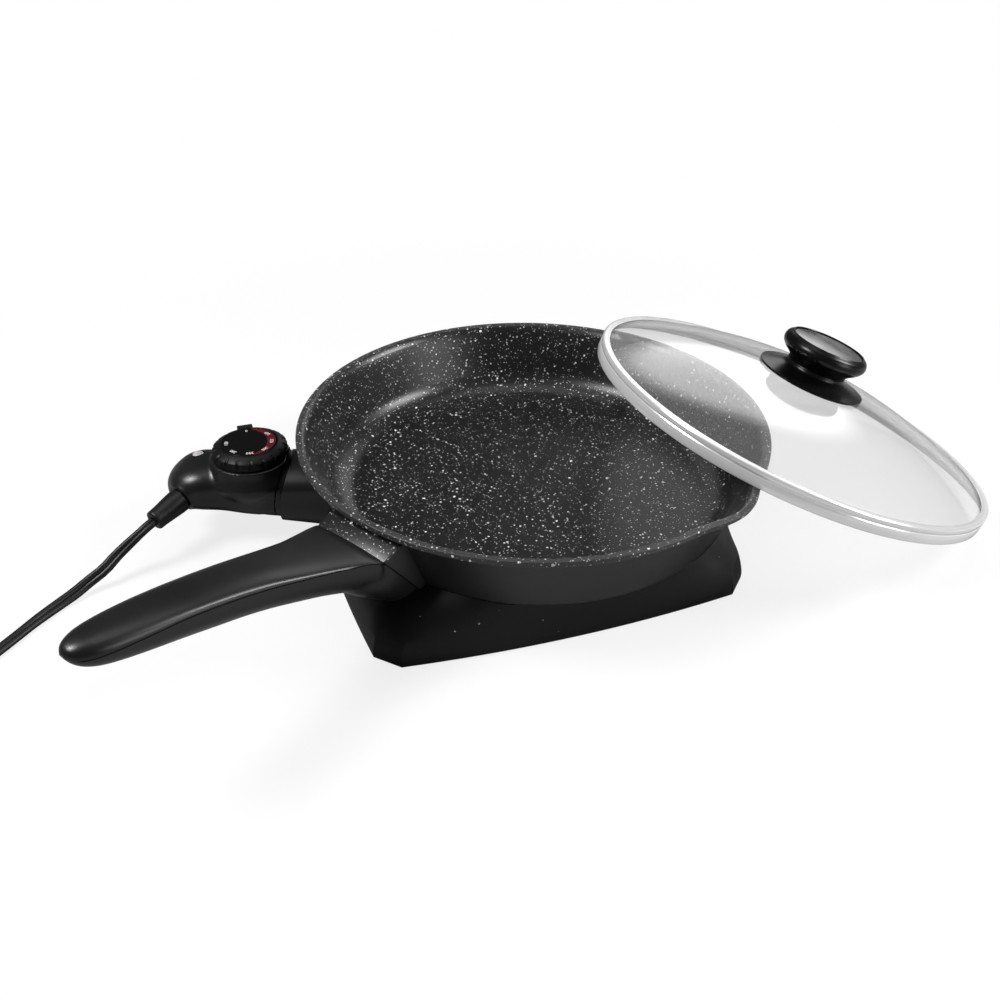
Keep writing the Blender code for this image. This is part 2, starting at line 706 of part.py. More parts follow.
def base_outline(width_share, keep_share, height, grow=0.0):
    """A square with bowed sides and clipped corners, drawn in toward the pan's foot."""
    half = BASE_HALF * width_share
    bow = BASE_BOW * width_share
    chord = half - BASE_CLIP * width_share / math.sqrt(2)
    bow_radius = (chord ** 2 + bow ** 2) / (2 * bow)
    sweep = math.asin(chord / bow_radius)
    place = Matrix.Translation(on_circle(BASE_SHIFT, CONTROL_TURN)) @ spun(BASE_TURN)
    points = []
    for side in range(4):
        for i in range(BASE_SIDE_STEPS + 1):
            turn = sweep * (2 * i / BASE_SIDE_STEPS - 1)
            x = bow_radius * math.sin(turn)
            y = bow_radius * (1 - math.cos(turn)) - half - bow
            point = place @ spun(side * math.pi / 2) @ Vector((x, y, 0))
            reach = point.length
            past = max(reach - BASE_FOOT_CIRCLE, 0)
            point *= (reach - past * (1 - keep_share) + grow) / reach
            point.z = height
            points.append(point)
    return points


def base_height(share):
    return BASE_BOTTOM + (BASE_TOP - BASE_BOTTOM) * share


def base_solid(name, grow):
    """The base's outer form, moved in or out by grow."""
    rings = [base_outline(width, keep, base_height(share), grow)
             for share, width, keep in BASE_SHARES]
    return loft(name, rings, home=CUTTERS)


def base_skirt(control_frame, handle_frame):
    """The hollow skirt: outer form less the inner one, the pan and the socket's opening."""
    rings = [base_outline(width, keep, base_height(share)) for share, width, keep in BASE_SHARES]
    skirt = loft("base_skirt", rings, SKIRT_BLACK)
    inner = [base_outline(*BASE_SHARES[0][1:], BASE_BOTTOM - OVERRUN, -BASE_WALL)]
    inner += [base_outline(width, keep, base_height(share), -BASE_WALL)
              for share, width, keep in BASE_SHARES[:-2]]
    share, width, keep = BASE_SHARES[-2]
    inner.append(base_outline(width, keep, base_height(share) - BASE_ROOF, -BASE_WALL))
    cavity = loft("base_cavity", inner, home=CUTTERS)
    pan_space = turned("pan_space", [(0, PAN_DEPTH)] + pan_outline(GAP, PAN_DEPTH),
                       home=CUTTERS, steps=PAN_STEPS)
    opening = guard_form("guard_opening", GAP, BASE_MOUTH - OVERRUN, MOUTH_END, control_frame)
    mouth = rod("base_mouth", (0, 0, BASE_BOTTOM), (0, 0, PAN_DEPTH), BASE_MOUTH,
                home=CUTTERS, steps=PAN_STEPS)
    cut(skirt, [cavity, pan_space, mouth, opening,
                lug_solid("skirt_lug_space", GAP, handle_frame)])
    return skirt


def base_cover():
    """The flat cover inside the skirt's lower edge, with holes for screws and feet."""
    rings = [base_outline(*BASE_SHARES[0][1:], height, -BASE_WALL - GAP)
             for height in (COVER_BOTTOM, COVER_TOP)]
    cover = loft("base_cover", rings, SKIRT_BLACK)
    holes = [rod("cover_hole", place + Vector((0, 0, COVER_BOTTOM - OVERRUN)),
                 place + Vector((0, 0, COVER_TOP + OVERRUN)), COVER_SCREW_RADIUS + GAP,
                 home=CUTTERS, steps=SMALL_STEPS // 2) for place in pillar_places()]
    holes += [rod("foot_hole", place + Vector((0, 0, COVER_BOTTOM - OVERRUN)),
                  place + Vector((0, 0, COVER_TOP + OVERRUN)), FOOT_STEM_RADIUS + GAP,
                  home=CUTTERS, steps=SMALL_STEPS // 2) for place in foot_places()]
    return cut(cover, holes)


def foot_places():
    place = Matrix.Translation(on_circle(BASE_SHIFT, CONTROL_TURN)) @ spun(BASE_TURN)
    reach = BASE_HALF - FOOT_INSET
    return [place @ Vector((x * reach, y * reach, 0))
            for x, y in ((1, 1), (-1, 1), (-1, -1), (1, -1))]


def feet():
    """Four rubber feet, each held by a button stem through the cover."""
    top = COVER_TOP + GAP
    button_foot = top + FOOT_BUTTON_HEIGHT
    profile = [(0, button_foot), (FOOT_STEM_RADIUS, button_foot),
               (FOOT_BUTTON_RADIUS, top), (FOOT_STEM_RADIUS, top),
               (FOOT_STEM_RADIUS, COVER_BOTTOM - GAP), (FOOT_RADIUS, COVER_BOTTOM - GAP),
               (FOOT_RADIUS, COUNTER), (0, COUNTER)]
    for number, place in enumerate(foot_places(), 1):
        foot = turned("foot_%d" % number, profile, RUBBER)
        foot.location = place


def screw(name, head, tip, radius, head_radius, head_height, look, frame=None, home=None):
    """A pan-head screw from its head's outer face to its tip."""
    head, tip = Vector(head), Vector(tip)
    length = (tip - head).length
    profile = [(0, length), (radius, length), (radius, head_height),
               (head_radius, head_height), (head_radius * 0.8, 0), (0, 0)]
    item = turned(name, profile, look, frame, home)
    turn = (tip - head).to_track_quat("Z", "Y").to_matrix().to_4x4()
    item.data.transform(Matrix.Translation(head) @ turn)
    return item


def base_screws():
    """Four screws that hold the cover to the pan's pillars."""
    seat = COVER_BOTTOM - GAP
    for number, place in enumerate(pillar_places(), 1):
        screw("base_screw_%d" % number, place + Vector((0, 0, seat - COVER_SCREW_HEAD_HEIGHT)),
              place + Vector((0, 0, COVER_TOP + COVER_SCREW_BITE)), COVER_SCREW_RADIUS,
              COVER_SCREW_HEAD, COVER_SCREW_HEAD_HEIGHT, ZINC)


def smooth_route(route, step):
    """Points a step apart on a smooth curve through the route's points."""
    route = [Vector(point) for point in route]
    ends = [2 * route[0] - route[1]] + route + [2 * route[-1] - route[-2]]
    fine = []
    pieces = 24
    for before, start, end, after in zip(ends, ends[1:], ends[2:], ends[3:]):
        for i in range(pieces):
            t = i / pieces
            fine.append(0.5 * (2 * start + (end - before) * t
                               + (2 * before - 5 * start + 4 * end - after) * t ** 2
                               + (3 * start - before - 3 * end + after) * t ** 3))
    fine.append(route[-1])
    length = sum((b - a).length for a, b in zip(fine, fine[1:]))
    count = max(round(length / step), 2)
    points = [fine[0]]
    walked = 0.0
    for a, b in zip(fine, fine[1:]):
        run = (b - a).length
        while len(points) < count and walked + run >= length * len(points) / count:
            points.append(a.lerp(b, (length * len(points) / count - walked) / run))
        walked += run
    return points + [fine[-1]]


def tube(name, points, radius, look, frame=None, resolution=2):
    """A round tube along points."""
    line = bpy.data.curves.new(name, "CURVE")
    line.dimensions = "3D"
    line.bevel_depth = radius
    line.bevel_resolution = resolution
    line.use_fill_caps = True
    spline = line.splines.new("POLY")
    spline.points.add(len(points) - 1)
    for knot, point in zip(spline.points, points):
        knot.co = (*point, 1)
    item = add(name, line, look, frame)
    return item


def heating_loop(control_frame):
    """The tubular element under the pan, bent out to its two pins."""
    turns = int((2 * math.pi - 2 * LOOP_GAP_TURN) / LOOP_STEP_TURN)
    arc = [on_circle(LOOP_RADIUS, LOOP_GAP_TURN + (2 * math.pi - 2 * LOOP_GAP_TURN) * i / turns,
                     LOOP_HEIGHT) for i in range(turns + 1)]
    end = Vector((PIN_START - GAP, PIN_SPREAD, LOOP_HEIGHT))
    bend = end - Vector((end.x - LOOP_RADIUS, 0, 0)) * 0.55
    lead_in = smooth_route([end, end - Vector((LOOP_TUBE_RADIUS * 3, 0, 0)), bend, arc[0]],
                           LOOP_TUBE_RADIUS * 2)
    lead_out = [Vector((point.x, -point.y, point.z)) for point in reversed(lead_in)]
    return tube("heating_element", lead_in[:-1] + arc + lead_out[1:], LOOP_TUBE_RADIUS, STEEL,
                control_frame, resolution=1)


def socket_pieces(control_frame):
    """The two terminal pins and the ceramic block that they pass through."""
    for name, side in (("terminal_pin_near", PIN_SPREAD), ("terminal_pin_far", -PIN_SPREAD)):
        profile = [(0, PIN_END), (PIN_RADIUS - PIN_TIP, PIN_END), (PIN_RADIUS, PIN_END - PIN_TIP),
                   (PIN_RADIUS, PIN_START), (0, PIN_START)]
        pin = turned(name, profile, STEEL, control_frame)
        pin.data.transform(Matrix.Translation((0, side, LOOP_HEIGHT))
                           @ Matrix.Rotation(math.pi / 2, 4, "Y"))
    block_end = BLOCK_START + BLOCK_THICKNESS
    block = guard_form("terminal_block", -GUARD_WALL - GAP, BLOCK_START, block_end,
                       control_frame, CERAMIC, None)
    holes = [rod("pin_hole", (BLOCK_START - OVERRUN, side, LOOP_HEIGHT),
                 (block_end + OVERRUN, side, LOOP_HEIGHT), PIN_RADIUS + GAP,
                 frame=control_frame, home=CUTTERS) for side in (PIN_SPREAD, -PIN_SPREAD)]
    holes.append(rod("probe_hole", (BLOCK_START - OVERRUN, 0, PROBE_HEIGHT),
                     (block_end + OVERRUN, 0, PROBE_HEIGHT), PROBE_RADIUS + RUNNING_GAP,
                     frame=control_frame, home=CUTTERS))
    cut(block, holes)


def guard_form(name, grow, start, end, frame, look=None, home=CUTTERS):
    """The guard's outer form between two places along the control, moved out by grow."""
    rings = []
    for along in (start, end):
        share = (along - GUARD_START) / (MOUTH_END - GUARD_START)
        bottom = GUARD_BOTTOM + GUARD_BOTTOM_RISE * share
        rings.append(power_ring(GUARD_HALF_WIDTH + grow, GUARD_TOP + grow - HOUSING_AXIS,
                                HOUSING_AXIS - bottom + grow, HOUSING_AXIS, GUARD_POWER,
                                GUARD_POINTS, along))
    return loft(name, rings, look, frame, home)


def mouth_form(name, grow, frame):
    """The round whose side is the guard's mouth, moved out by grow toward the control."""
    centre = MOUTH_END - MOUTH_RADIUS
    return rod(name, (centre, -MOUTH_RADIUS, MOUTH_HEIGHT), (centre, MOUTH_RADIUS, MOUTH_HEIGHT),
               MOUTH_RADIUS + grow, frame=frame, home=CUTTERS, steps=MOUTH_STEPS)


def socket_guard(control_frame):
    """The moulded guard that shrouds the pins, shaped to the pan's side."""
    guard = guard_form("socket_guard", 0.0, GUARD_START, MOUTH_END + OVERRUN, control_frame,
                       SKIRT_BLACK, None)
    bore = guard_form("guard_bore", -GUARD_WALL, GUARD_START - OVERRUN, MOUTH_END + OVERRUN * 2,
                      control_frame)
    pan_space = turned("guard_pan_space", [(0, PAN_DEPTH)] + pan_outline(GAP, PAN_DEPTH),
                       home=CUTTERS, steps=PAN_STEPS)
    cut(guard, [bore, pan_space])
    kept(guard, [mouth_form("guard_mouth", 0.0, control_frame)])
    return guard


def handle_stations():
    """Sizes of the handle at each share of its length."""
    lug_top = PAN_DEPTH - LUG_TOP_DROP - LUG_SLOPE
    for along, width, crown, seam, belly in HANDLE_SHARES:
        yield (LUG_END + GAP + HANDLE_LENGTH * along, LUG_WIDTH / 2 * width,
               lug_top + HANDLE_RISE * crown, lug_top + HANDLE_RISE * seam,
               lug_top - HANDLE_DEPTH * belly)


def half_ring(along, half_width, seam, peak, power):
    """One half of a handle section, from the seam over to the peak and back."""
    points = []
    for i in range(GRIP_SIDE_POINTS + 1):
        turn = math.pi * i / GRIP_SIDE_POINTS
        side, rise = math.cos(turn), math.sin(turn)
        y = half_width * math.copysign(abs(side) ** (2 / power), side)
        z = seam + (peak - seam) * rise ** (2 / power)
        points.append(Vector((along, y, z)))
    return points


def handle(handle_frame, pan_space, skirt_space):
    """The upper grip, and the lower shell whose boss reaches in under the lug."""
    upper = [half_ring(along, width, seam + GAP / 2, crown + GAP, GRIP_POWER)
             for along, width, crown, seam, belly in handle_stations()]
    loft("handle_grip", upper, GRIP_BLACK, handle_frame)
    lower = [half_ring(along, width, seam - GAP / 2, belly, GRIP_POWER)
             for along, width, crown, seam, belly in handle_stations()]
    shell = loft("handle_underside", lower, GRIP_BLACK, handle_frame)
    boss_top = PAN_DEPTH - LUG_TOP_DROP - LUG_SLOPE - BOSS_TOP_DROP
    rings = [half_ring(BOSS_START + (BOSS_END - BOSS_START) * along, LUG_WIDTH / 2 * width,
                       boss_top, BOSS_LOW + BOSS_RISE * rise, BOSS_POWER)
             for along, width, rise in BOSS_SHARES]
    boss = loft("handle_boss", rings, frame=handle_frame, home=CUTTERS)
    joined(shell, [boss])
    screw_place = LUG_END - HANDLE_SCREW_INSET
    hole = rod("handle_hole", (screw_place, 0, BOSS_LOW), (screw_place, 0, HANDLE_SCREW_TIP),
               HANDLE_SCREW_RADIUS + GAP, frame=handle_frame, home=CUTTERS)
    counterbore = rod("handle_counterbore", (screw_place, 0, BOSS_LOW),
                      (screw_place, 0, HANDLE_SCREW_SEAT), HANDLE_SCREW_HEAD + GAP,
                      frame=handle_frame, home=CUTTERS)
    cut(shell, [lug_solid("lug_space", GAP, handle_frame), pan_space, skirt_space, hole,
                counterbore])
    screw("handle_screw", (screw_place, 0, HANDLE_SCREW_SEAT - GAP - HANDLE_SCREW_HEAD_HEIGHT),
          (screw_place, 0, HANDLE_SCREW_TIP), HANDLE_SCREW_RADIUS, HANDLE_SCREW_HEAD,
          HANDLE_SCREW_HEAD_HEIGHT, ZINC, handle_frame)


def housing_rings(inset, start_overrun):
    """Rings of the control housing, moved in by inset and run past its open front."""
    rings = []
    for along, width, top, bottom in HOUSING_SHARES:
        place = HOUSING_START + HOUSING_LENGTH * along
        half_width = HOUSING_HALF_WIDTH * width - inset
        rise = HOUSING_TOP * top - inset
        fall = HOUSING_BOTTOM * bottom - inset
        if min(half_width, rise, fall) > inset / 2:
            rings.append(power_ring(half_width, rise, fall, HOUSING_AXIS, HOUSING_POWER,
                                    HOUSING_POINTS, place))
    if start_overrun:
        rings[0] = [point - Vector((start_overrun, 0, 0)) for point in rings[0]]
    return rings


def housing_solid(name, look, frame):
    """The control's whole outer form: body, dial pedestal, pointer and cord neck."""
    body = loft(name, housing_rings(0.0, 0.0), look, frame)
    front = mouth_form(name + "_front", FRONT_PLATE + GAP * 2, frame)
    profile = [(0, PEDESTAL_TOP), (PEDESTAL_RADIUS, PEDESTAL_TOP)]
    for out, fall in PEDESTAL_SHARES:
        profile.append((PEDESTAL_RADIUS + (PEDESTAL_FOOT_RADIUS - PEDESTAL_RADIUS) * out,
                        PEDESTAL_TOP - (PEDESTAL_TOP - PEDESTAL_WAIST) * fall))
    profile += [(PEDESTAL_FOOT_RADIUS * PEDESTAL_TUCK, HOUSING_AXIS),
                (PEDESTAL_RADIUS * PEDESTAL_TUCK, PEDESTAL_BOTTOM), (0, PEDESTAL_BOTTOM)]
    pedestal = turned("pedestal", profile, frame=frame, home=CUTTERS, steps=KNOB_STEPS)
    pedestal.location.x = DIAL_CENTRE
    start = Vector(RELIEF_START)
    back = Vector(RELIEF_RUN).normalized()
    neck = rod("cord_neck", start - back * NECK_BACK, start - back * GAP, NECK_RADIUS,
               frame=frame, home=CUTTERS, end_radius=RELIEF_START_RADIUS, steps=KNOB_STEPS)
    pointer = box("pointer", (POINTER_INSET + RUNNING_GAP, -POINTER_WIDTH / 2, HOUSING_AXIS),
                  (POINTER_REACH, POINTER_WIDTH / 2, PEDESTAL_TOP + POINTER_RISE),
                  frame=frame, home=CUTTERS, edge=RUNNING_GAP)
    pointer.data.transform(Matrix.Translation((DIAL_CENTRE, 0, 0)) @ spun(POINTER_TURN))
    relief_space = rod("relief_space", start - back * GAP, start + back * RELIEF_LENGTH,
                       RELIEF_START_RADIUS + GAP, frame=frame, home=CUTTERS, steps=KNOB_STEPS)
    joined(body, [pedestal, neck, pointer])
    return cut(body, [front, relief_space])


def half_space(name, top_side, frame):
    """A block above or below the plane where the two housing shells meet."""
    reach = HOUSING_END
    half_gap = GAP / 2
    low = HOUSING_AXIS + half_gap if top_side else -reach
    high = reach if top_side else HOUSING_AXIS - half_gap
    return box(name, (0, -reach, low), (reach * 2, reach, high), frame=frame, home=CUTTERS)


def control_post_places():
    return [Vector((CONTROL_SCREW_ALONG, CONTROL_SCREW_SIDE, 0)),
            Vector((CONTROL_SCREW_ALONG, -CONTROL_SCREW_SIDE, 0)),
            Vector((CONTROL_SCREW_REAR, 0, 0))]


def control_housing(frame):
    """The upper and lower shells, with posts for their screws and a post for the lamp."""
    top = housing_solid("control_top_shell", CONTROL_BLACK, frame)
    bottom = housing_solid("control_bottom_shell", CONTROL_BLACK, frame)
    up = Vector((0, 0, 1))
    floor = HOUSING_AXIS - HOUSING_BOTTOM
    ceiling = HOUSING_AXIS + HOUSING_TOP
    seat = floor + CONTROL_SCREW_SEAT
    lamp_place = Vector((LENS_ALONG, LENS_SIDE, 0))
    cavities = []
    for side in ("upper", "lower"):
        cavity = loft("housing_cavity_" + side, housing_rings(HOUSING_WALL, OVERRUN),
                      frame=frame, home=CUTTERS)
        posts = [rod("control_post", place + up * floor, place + up * ceiling,
                     CONTROL_POST_RADIUS, frame=frame, home=CUTTERS)
                 for place in control_post_places()]
        if side == "lower":
            posts.append(rod("lamp_post", lamp_place + up * floor,
                             lamp_place + up * (HOUSING_AXIS - GAP * 2), LAMP_POST_RADIUS,
                             frame=frame, home=CUTTERS))
        cavities.append(cut(cavity, posts))
    shank_holes = [rod("control_hole", place + up * (floor - OVERRUN),
                       place + up * (HOUSING_AXIS + CONTROL_SCREW_BITE + GAP),
                       CONTROL_SCREW_RADIUS + GAP, frame=frame, home=CUTTERS,
                       steps=SMALL_STEPS // 2) for place in control_post_places()]
    head_holes = [rod("control_head_hole", place + up * (floor - OVERRUN),
                      place + up * seat, CONTROL_SCREW_HEAD + GAP,
                      frame=frame, home=CUTTERS) for place in control_post_places()]
    shaft_hole = rod("shaft_hole", (DIAL_CENTRE, 0, HOUSING_AXIS),
                     (DIAL_CENTRE, 0, PEDESTAL_TOP + OVERRUN), SHAFT_RADIUS + RUNNING_GAP,
                     frame=frame, home=CUTTERS)
    lens_hole = rod("lens_hole", lamp_place + up * HOUSING_AXIS, lamp_place + up * (ceiling * 2),
                    LENS_RADIUS + GAP, frame=frame, home=CUTTERS)
    cut(top, [cavities[0], shaft_hole, lens_hole] + shank_holes)
    kept(top, [half_space("upper_half", True, frame)])
    cut(bottom, [cavities[1]] + shank_holes + head_holes)
    kept(bottom, [half_space("lower_half", False, frame)])
    head = seat - GAP - CONTROL_SCREW_HEAD_HEIGHT
    for number, place in enumerate(control_post_places(), 1):
        screw("control_screw_%d" % number, place + up * head,
              place + up * (HOUSING_AXIS + CONTROL_SCREW_BITE), CONTROL_SCREW_RADIUS,
              CONTROL_SCREW_HEAD, CONTROL_SCREW_HEAD_HEIGHT, ZINC, frame)


def control_front(frame):
    """The front plate with the nose that plugs into the guard, and its two contact sleeves."""
    front = loft("control_front", housing_rings(0.0, 0.0)[:4], CONTROL_BLACK, frame)
    cut(front, [mouth_form("front_back", GAP, frame)])
    kept(front, [mouth_form("front_face", FRONT_PLATE + GAP, frame)])
    nose = box("nose", (NOSE_START, -NOSE_HALF_WIDTH, NOSE_BOTTOM),
               (NOSE_END, NOSE_HALF_WIDTH, NOSE_TOP), frame=frame, home=CUTTERS, edge=RIM_EDGE)
    joined(front, [nose])
    sleeve_radius = PIN_RADIUS + GAP + SLEEVE_WALL
    holes = [rod("sleeve_hole", (NOSE_START - OVERRUN, side, LOOP_HEIGHT),
                 (SLEEVE_END, side, LOOP_HEIGHT), sleeve_radius + GAP, frame=frame,
                 home=CUTTERS) for side in (PIN_SPREAD, -PIN_SPREAD)]
    holes.append(rod("probe_seat", (NOSE_START - OVERRUN, 0, PROBE_HEIGHT),
                     (SLEEVE_END, 0, PROBE_HEIGHT), PROBE_RADIUS + GAP, frame=frame,
                     home=CUTTERS))
    cut(front, holes)
    for name, side in (("contact_sleeve_near", PIN_SPREAD), ("contact_sleeve_far", -PIN_SPREAD)):
        bore = PIN_RADIUS + GAP
        profile = [(bore, SLEEVE_END), (sleeve_radius, SLEEVE_END),
                   (sleeve_radius, NOSE_START + GAP), (bore, NOSE_START + GAP)]
        sleeve = turned(name, profile, BRASS, frame, ring=True)
        sleeve.data.transform(Matrix.Translation((0, side, LOOP_HEIGHT))
                              @ Matrix.Rotation(math.pi / 2, 4, "Y"))


def thermostat(frame):
    """Probe, frame over it, blade stack, lamp and lens inside the control."""
    profile = [(0, PROBE_END), (PROBE_RADIUS, PROBE_END)]
    steps = 4
    for i in range(steps):
        turn = math.pi / 2 * i / steps
        profile.append((PROBE_RADIUS * math.cos(turn),
                        PROBE_START + PROBE_RADIUS * (1 - math.sin(turn))))
    profile.append((0, PROBE_START))
    probe = turned("temperature_probe", profile, STEEL, frame)
    probe.data.transform(Matrix.Translation((0, 0, PROBE_HEIGHT))
                         @ Matrix.Rotation(math.pi / 2, 4, "Y"))
    roof = PROBE_HEIGHT + PROBE_RADIUS + GAP + FRAME_SHEET
    low = PROBE_HEIGHT - FRAME_LEG
    end = FRAME_END
    outside = FRAME_HALF_WIDTH
    inside = outside - FRAME_SHEET
    section = [(-outside, low), (-inside, low), (-inside, roof - FRAME_SHEET),
               (inside, roof - FRAME_SHEET), (inside, low), (outside, low),
               (outside, roof), (-outside, roof)]
    loft("thermostat_frame", [[Vector((along, y, z)) for y, z in section]
                              for along in (FRAME_START, end)], ZINC, frame)
    strip_low = roof + GAP
    stack_start = end - STACK_LENGTH
    heights = []
    for name, short in (("bimetal_strip", 0), ("contact_blade", BLADE_SHORT)):
        start = FRAME_START + short
        box(name, (start, -STRIP_HALF_WIDTH, strip_low),
            (end, STRIP_HALF_WIDTH, strip_low + STRIP_THICKNESS), BRASS, frame)
        heights.append(strip_low + STRIP_THICKNESS)
        strip_low += STRIP_THICKNESS + STRIP_SPACE
    top = heights[-1] + STACK_CAP
    stack = box("insulator_stack", (stack_start, -STACK_HALF_WIDTH, roof + GAP),
                (end, STACK_HALF_WIDTH, top), CERAMIC, frame)
    slots = [box("blade_slot", (stack_start - OVERRUN, -STRIP_HALF_WIDTH - GAP,
                                height - STRIP_THICKNESS - GAP),
                 (end + OVERRUN, STRIP_HALF_WIDTH + GAP, height + GAP),
                 frame=frame, home=CUTTERS) for height in heights]
    cut(stack, slots)
    lamp_foot = HOUSING_AXIS - GAP
    profile = [(LAMP_RADIUS * out, lamp_foot + LAMP_LENGTH * rise)
               for out, rise in LAMP_SHARES]
    lamp = turned("indicator_lamp", profile, AMBER, frame)
    lamp.location = (LENS_ALONG, LENS_SIDE, 0)
    ceiling = lens_ceiling(HOUSING_WALL)
    surface = lens_ceiling(0.0)
    profile = [(LENS_RADIUS * out, surface + LENS_RISE * rise) for out, rise in LENS_SHARES]
    profile += [(LENS_RADIUS, ceiling - GAP),
                (LENS_FLANGE, ceiling - GAP), (LENS_FLANGE, ceiling - GAP - LENS_SHEET),
                (0, ceiling - GAP - LENS_SHEET)]
    lens = turned("indicator_lens", profile, LENS, frame)
    lens.location = (LENS_ALONG, LENS_SIDE, 0)


def lens_ceiling(inset):
    """Height of the housing's top over the lens's outer edge, moved in by inset."""
    share = (LENS_ALONG - HOUSING_START) / HOUSING_LENGTH
    for first, second in zip(HOUSING_SHARES, HOUSING_SHARES[1:]):
        if first[0] <= share <= second[0]:
            part = (share - first[0]) / (second[0] - first[0])
            width = HOUSING_HALF_WIDTH * (first[1] + (second[1] - first[1]) * part) - inset
            top = HOUSING_TOP * (first[2] + (second[2] - first[2]) * part) - inset
            side = (abs(LENS_SIDE) + LENS_FLANGE) / width
            return HOUSING_AXIS + top * (1 - side ** HOUSING_POWER) ** (1 / HOUSING_POWER)
    return HOUSING_AXIS + HOUSING_TOP - inset


def dial(frame):
    """The notched knob, its printed disc, and the shaft with the cam that moves the blade."""
    pivot = empty("dial_axis", Matrix.Translation((DIAL_CENTRE, 0, 0)), frame)
    top = KNOB_START + DIAL_HEIGHT
    disc_seat = top - FACE_THICKNESS - GAP
    rim = DIAL_FACE_RADIUS + GAP
    bore = SHAFT_RADIUS + GAP
    shoulder = top - DIAL_CHAMFER
    skirt = KNOB_START + DIAL_CHAMFER / 3
    profile = [(0, disc_seat), (rim, disc_seat), (rim, top), (rim + GAP * 3, top),
               (DIAL_RADIUS - GAP, shoulder), (DIAL_RADIUS, shoulder - GAP * 2),
               (DIAL_RADIUS, skirt), (DIAL_RADIUS - GAP * 2, KNOB_START), (bore, KNOB_START),
               (bore, KNOB_START + SHAFT_BITE + GAP), (0, KNOB_START + SHAFT_BITE + GAP)]
    knob = turned("dial_knob", profile, DIAL_BLACK, pivot, steps=DIAL_NOTCHES * DIAL_NOTCH_STEPS)
    for vertex in knob.data.vertices:
        radius = math.hypot(vertex.co.x, vertex.co.y)
        if radius > DIAL_RADIUS - GAP * 3:
            step = math.atan2(vertex.co.y, vertex.co.x) / math.pi / 2 * DIAL_NOTCHES
            if abs(step - round(step)) * DIAL_NOTCH_STEPS < 0.5:
                scale = 1 - DIAL_NOTCH_DEPTH / radius
                vertex.co.x *= scale
                vertex.co.y *= scale
    turned("dial_face", [(0, top), (DIAL_FACE_RADIUS, top), (DIAL_FACE_RADIUS, disc_seat + GAP),
                         (0, disc_seat + GAP)], DIAL_BLACK, pivot, steps=KNOB_STEPS)
    turned("dial_shaft", [(0, KNOB_START + SHAFT_BITE), (SHAFT_RADIUS, KNOB_START + SHAFT_BITE),
                          (SHAFT_RADIUS, CAM_BOTTOM + CAM_HEIGHT),
                          (CAM_RADIUS, CAM_BOTTOM + CAM_HEIGHT), (CAM_RADIUS, CAM_BOTTOM),
                          (0, CAM_BOTTOM)], ZINC, pivot)


def strain_relief(frame):
    """The smooth taper that the lead leaves by."""
    length = RELIEF_LENGTH
    start_radius = RELIEF_START_RADIUS - RELIEF_RING
    profile = [(0, length), (RELIEF_END_RADIUS - RELIEF_RING, length),
               (RELIEF_END_RADIUS, length - RELIEF_RING), (start_radius, RELIEF_RING * 3),
               (start_radius, RELIEF_RING), (start_radius - RELIEF_RING, 0), (0, 0)]
    relief = turned("strain_relief", profile, CORD_BLACK, frame, steps=SMALL_STEPS)
    start = Vector(RELIEF_START)
    turn = Vector(RELIEF_RUN).to_track_quat("Z", "Y").to_matrix().to_4x4()
    relief.data.transform(Matrix.Translation(start) @ turn)


def cord_profile():
    """The lead's flat section with round edges, drawn as a closed outline."""
    line = bpy.data.curves.new("cord_profile", "CURVE")
    line.dimensions = "2D"
    spline = line.splines.new("POLY")
    round_half = CORD_THICKNESS / 2
    flat_half = CORD_WIDTH / 2 - round_half
    outline = []
    for end in (1, -1):
        for i in range(4):
            turn = math.pi * (i / 3 - 0.5)
            outline.append((end * (flat_half + round_half * math.cos(turn)),
                            end * round_half * math.sin(turn)))
    spline.points.add(len(outline) - 1)
    for knot, (x, y) in zip(spline.points, outline):
        knot.co = (x, y, 0, 1)
    spline.use_cyclic_u = True
    return add("cord_profile", line, home=CUTTERS)


def flat_lead(name, points, profile, frame, twist=0.0):
    """A flat lead along points, its broad side level but for one easy twist near its start."""
    line = bpy.data.curves.new(name, "CURVE")
    line.dimensions = "3D"
    line.twist_mode = "Z_UP"
    line.bevel_mode = "OBJECT"
    line.bevel_object = profile
    line.use_fill_caps = True
    spline = line.splines.new("POLY")
    spline.points.add(len(points) - 1)
    last = len(points) * CORD_TWIST_SHARE
    for i, (knot, point) in enumerate(zip(spline.points, points)):
        knot.co = (*point, 1)
        knot.tilt = twist * math.sin(math.pi * min(i / last, 1)) ** 2
    guide = add(name + "_line", line, home=CUTTERS)
    bpy.context.view_layer.update()
    graph = bpy.context.evaluated_depsgraph_get()
    mesh = bpy.data.meshes.new_from_object(guide.evaluated_get(graph))
    bpy.data.objects.remove(guide)
    shape = bmesh.new()
    shape.from_mesh(mesh)
    bmesh.ops.remove_doubles(shape, verts=shape.verts, dist=MERGE)
    bmesh.ops.recalc_face_normals(shape, faces=shape.faces)
    shape.to_mesh(mesh)
    shape.free()
    mesh.shade_smooth()
    mesh.set_sharp_from_angle(angle=math.pi / 3)
    return add(name, mesh, CORD_BLACK, frame)


def coil_points(level):
    """The lead's coil: in to the middle, up a layer in the half turn there, and out again."""
    points = []
    centre = Vector((*COIL_CENTRE, level))
    count = round(COIL_TURNS_EACH_WAY * COIL_POINTS_PER_TURN)
    climb = COIL_POINTS_PER_TURN // 2
    for i in range(2 * count + 1):
        inward = min(i, 2 * count - i)
        radius = COIL_RADIUS - COIL_PITCH * inward / COIL_POINTS_PER_TURN
        rise = min(max((i - count + climb / 2) / climb, 0), 1)
        height = COIL_LAYER_STEP * rise * rise * (3 - 2 * rise)
        turn = -2 * math.pi * i / COIL_POINTS_PER_TURN
        points.append(centre + on_circle(radius, turn, height))
    return points


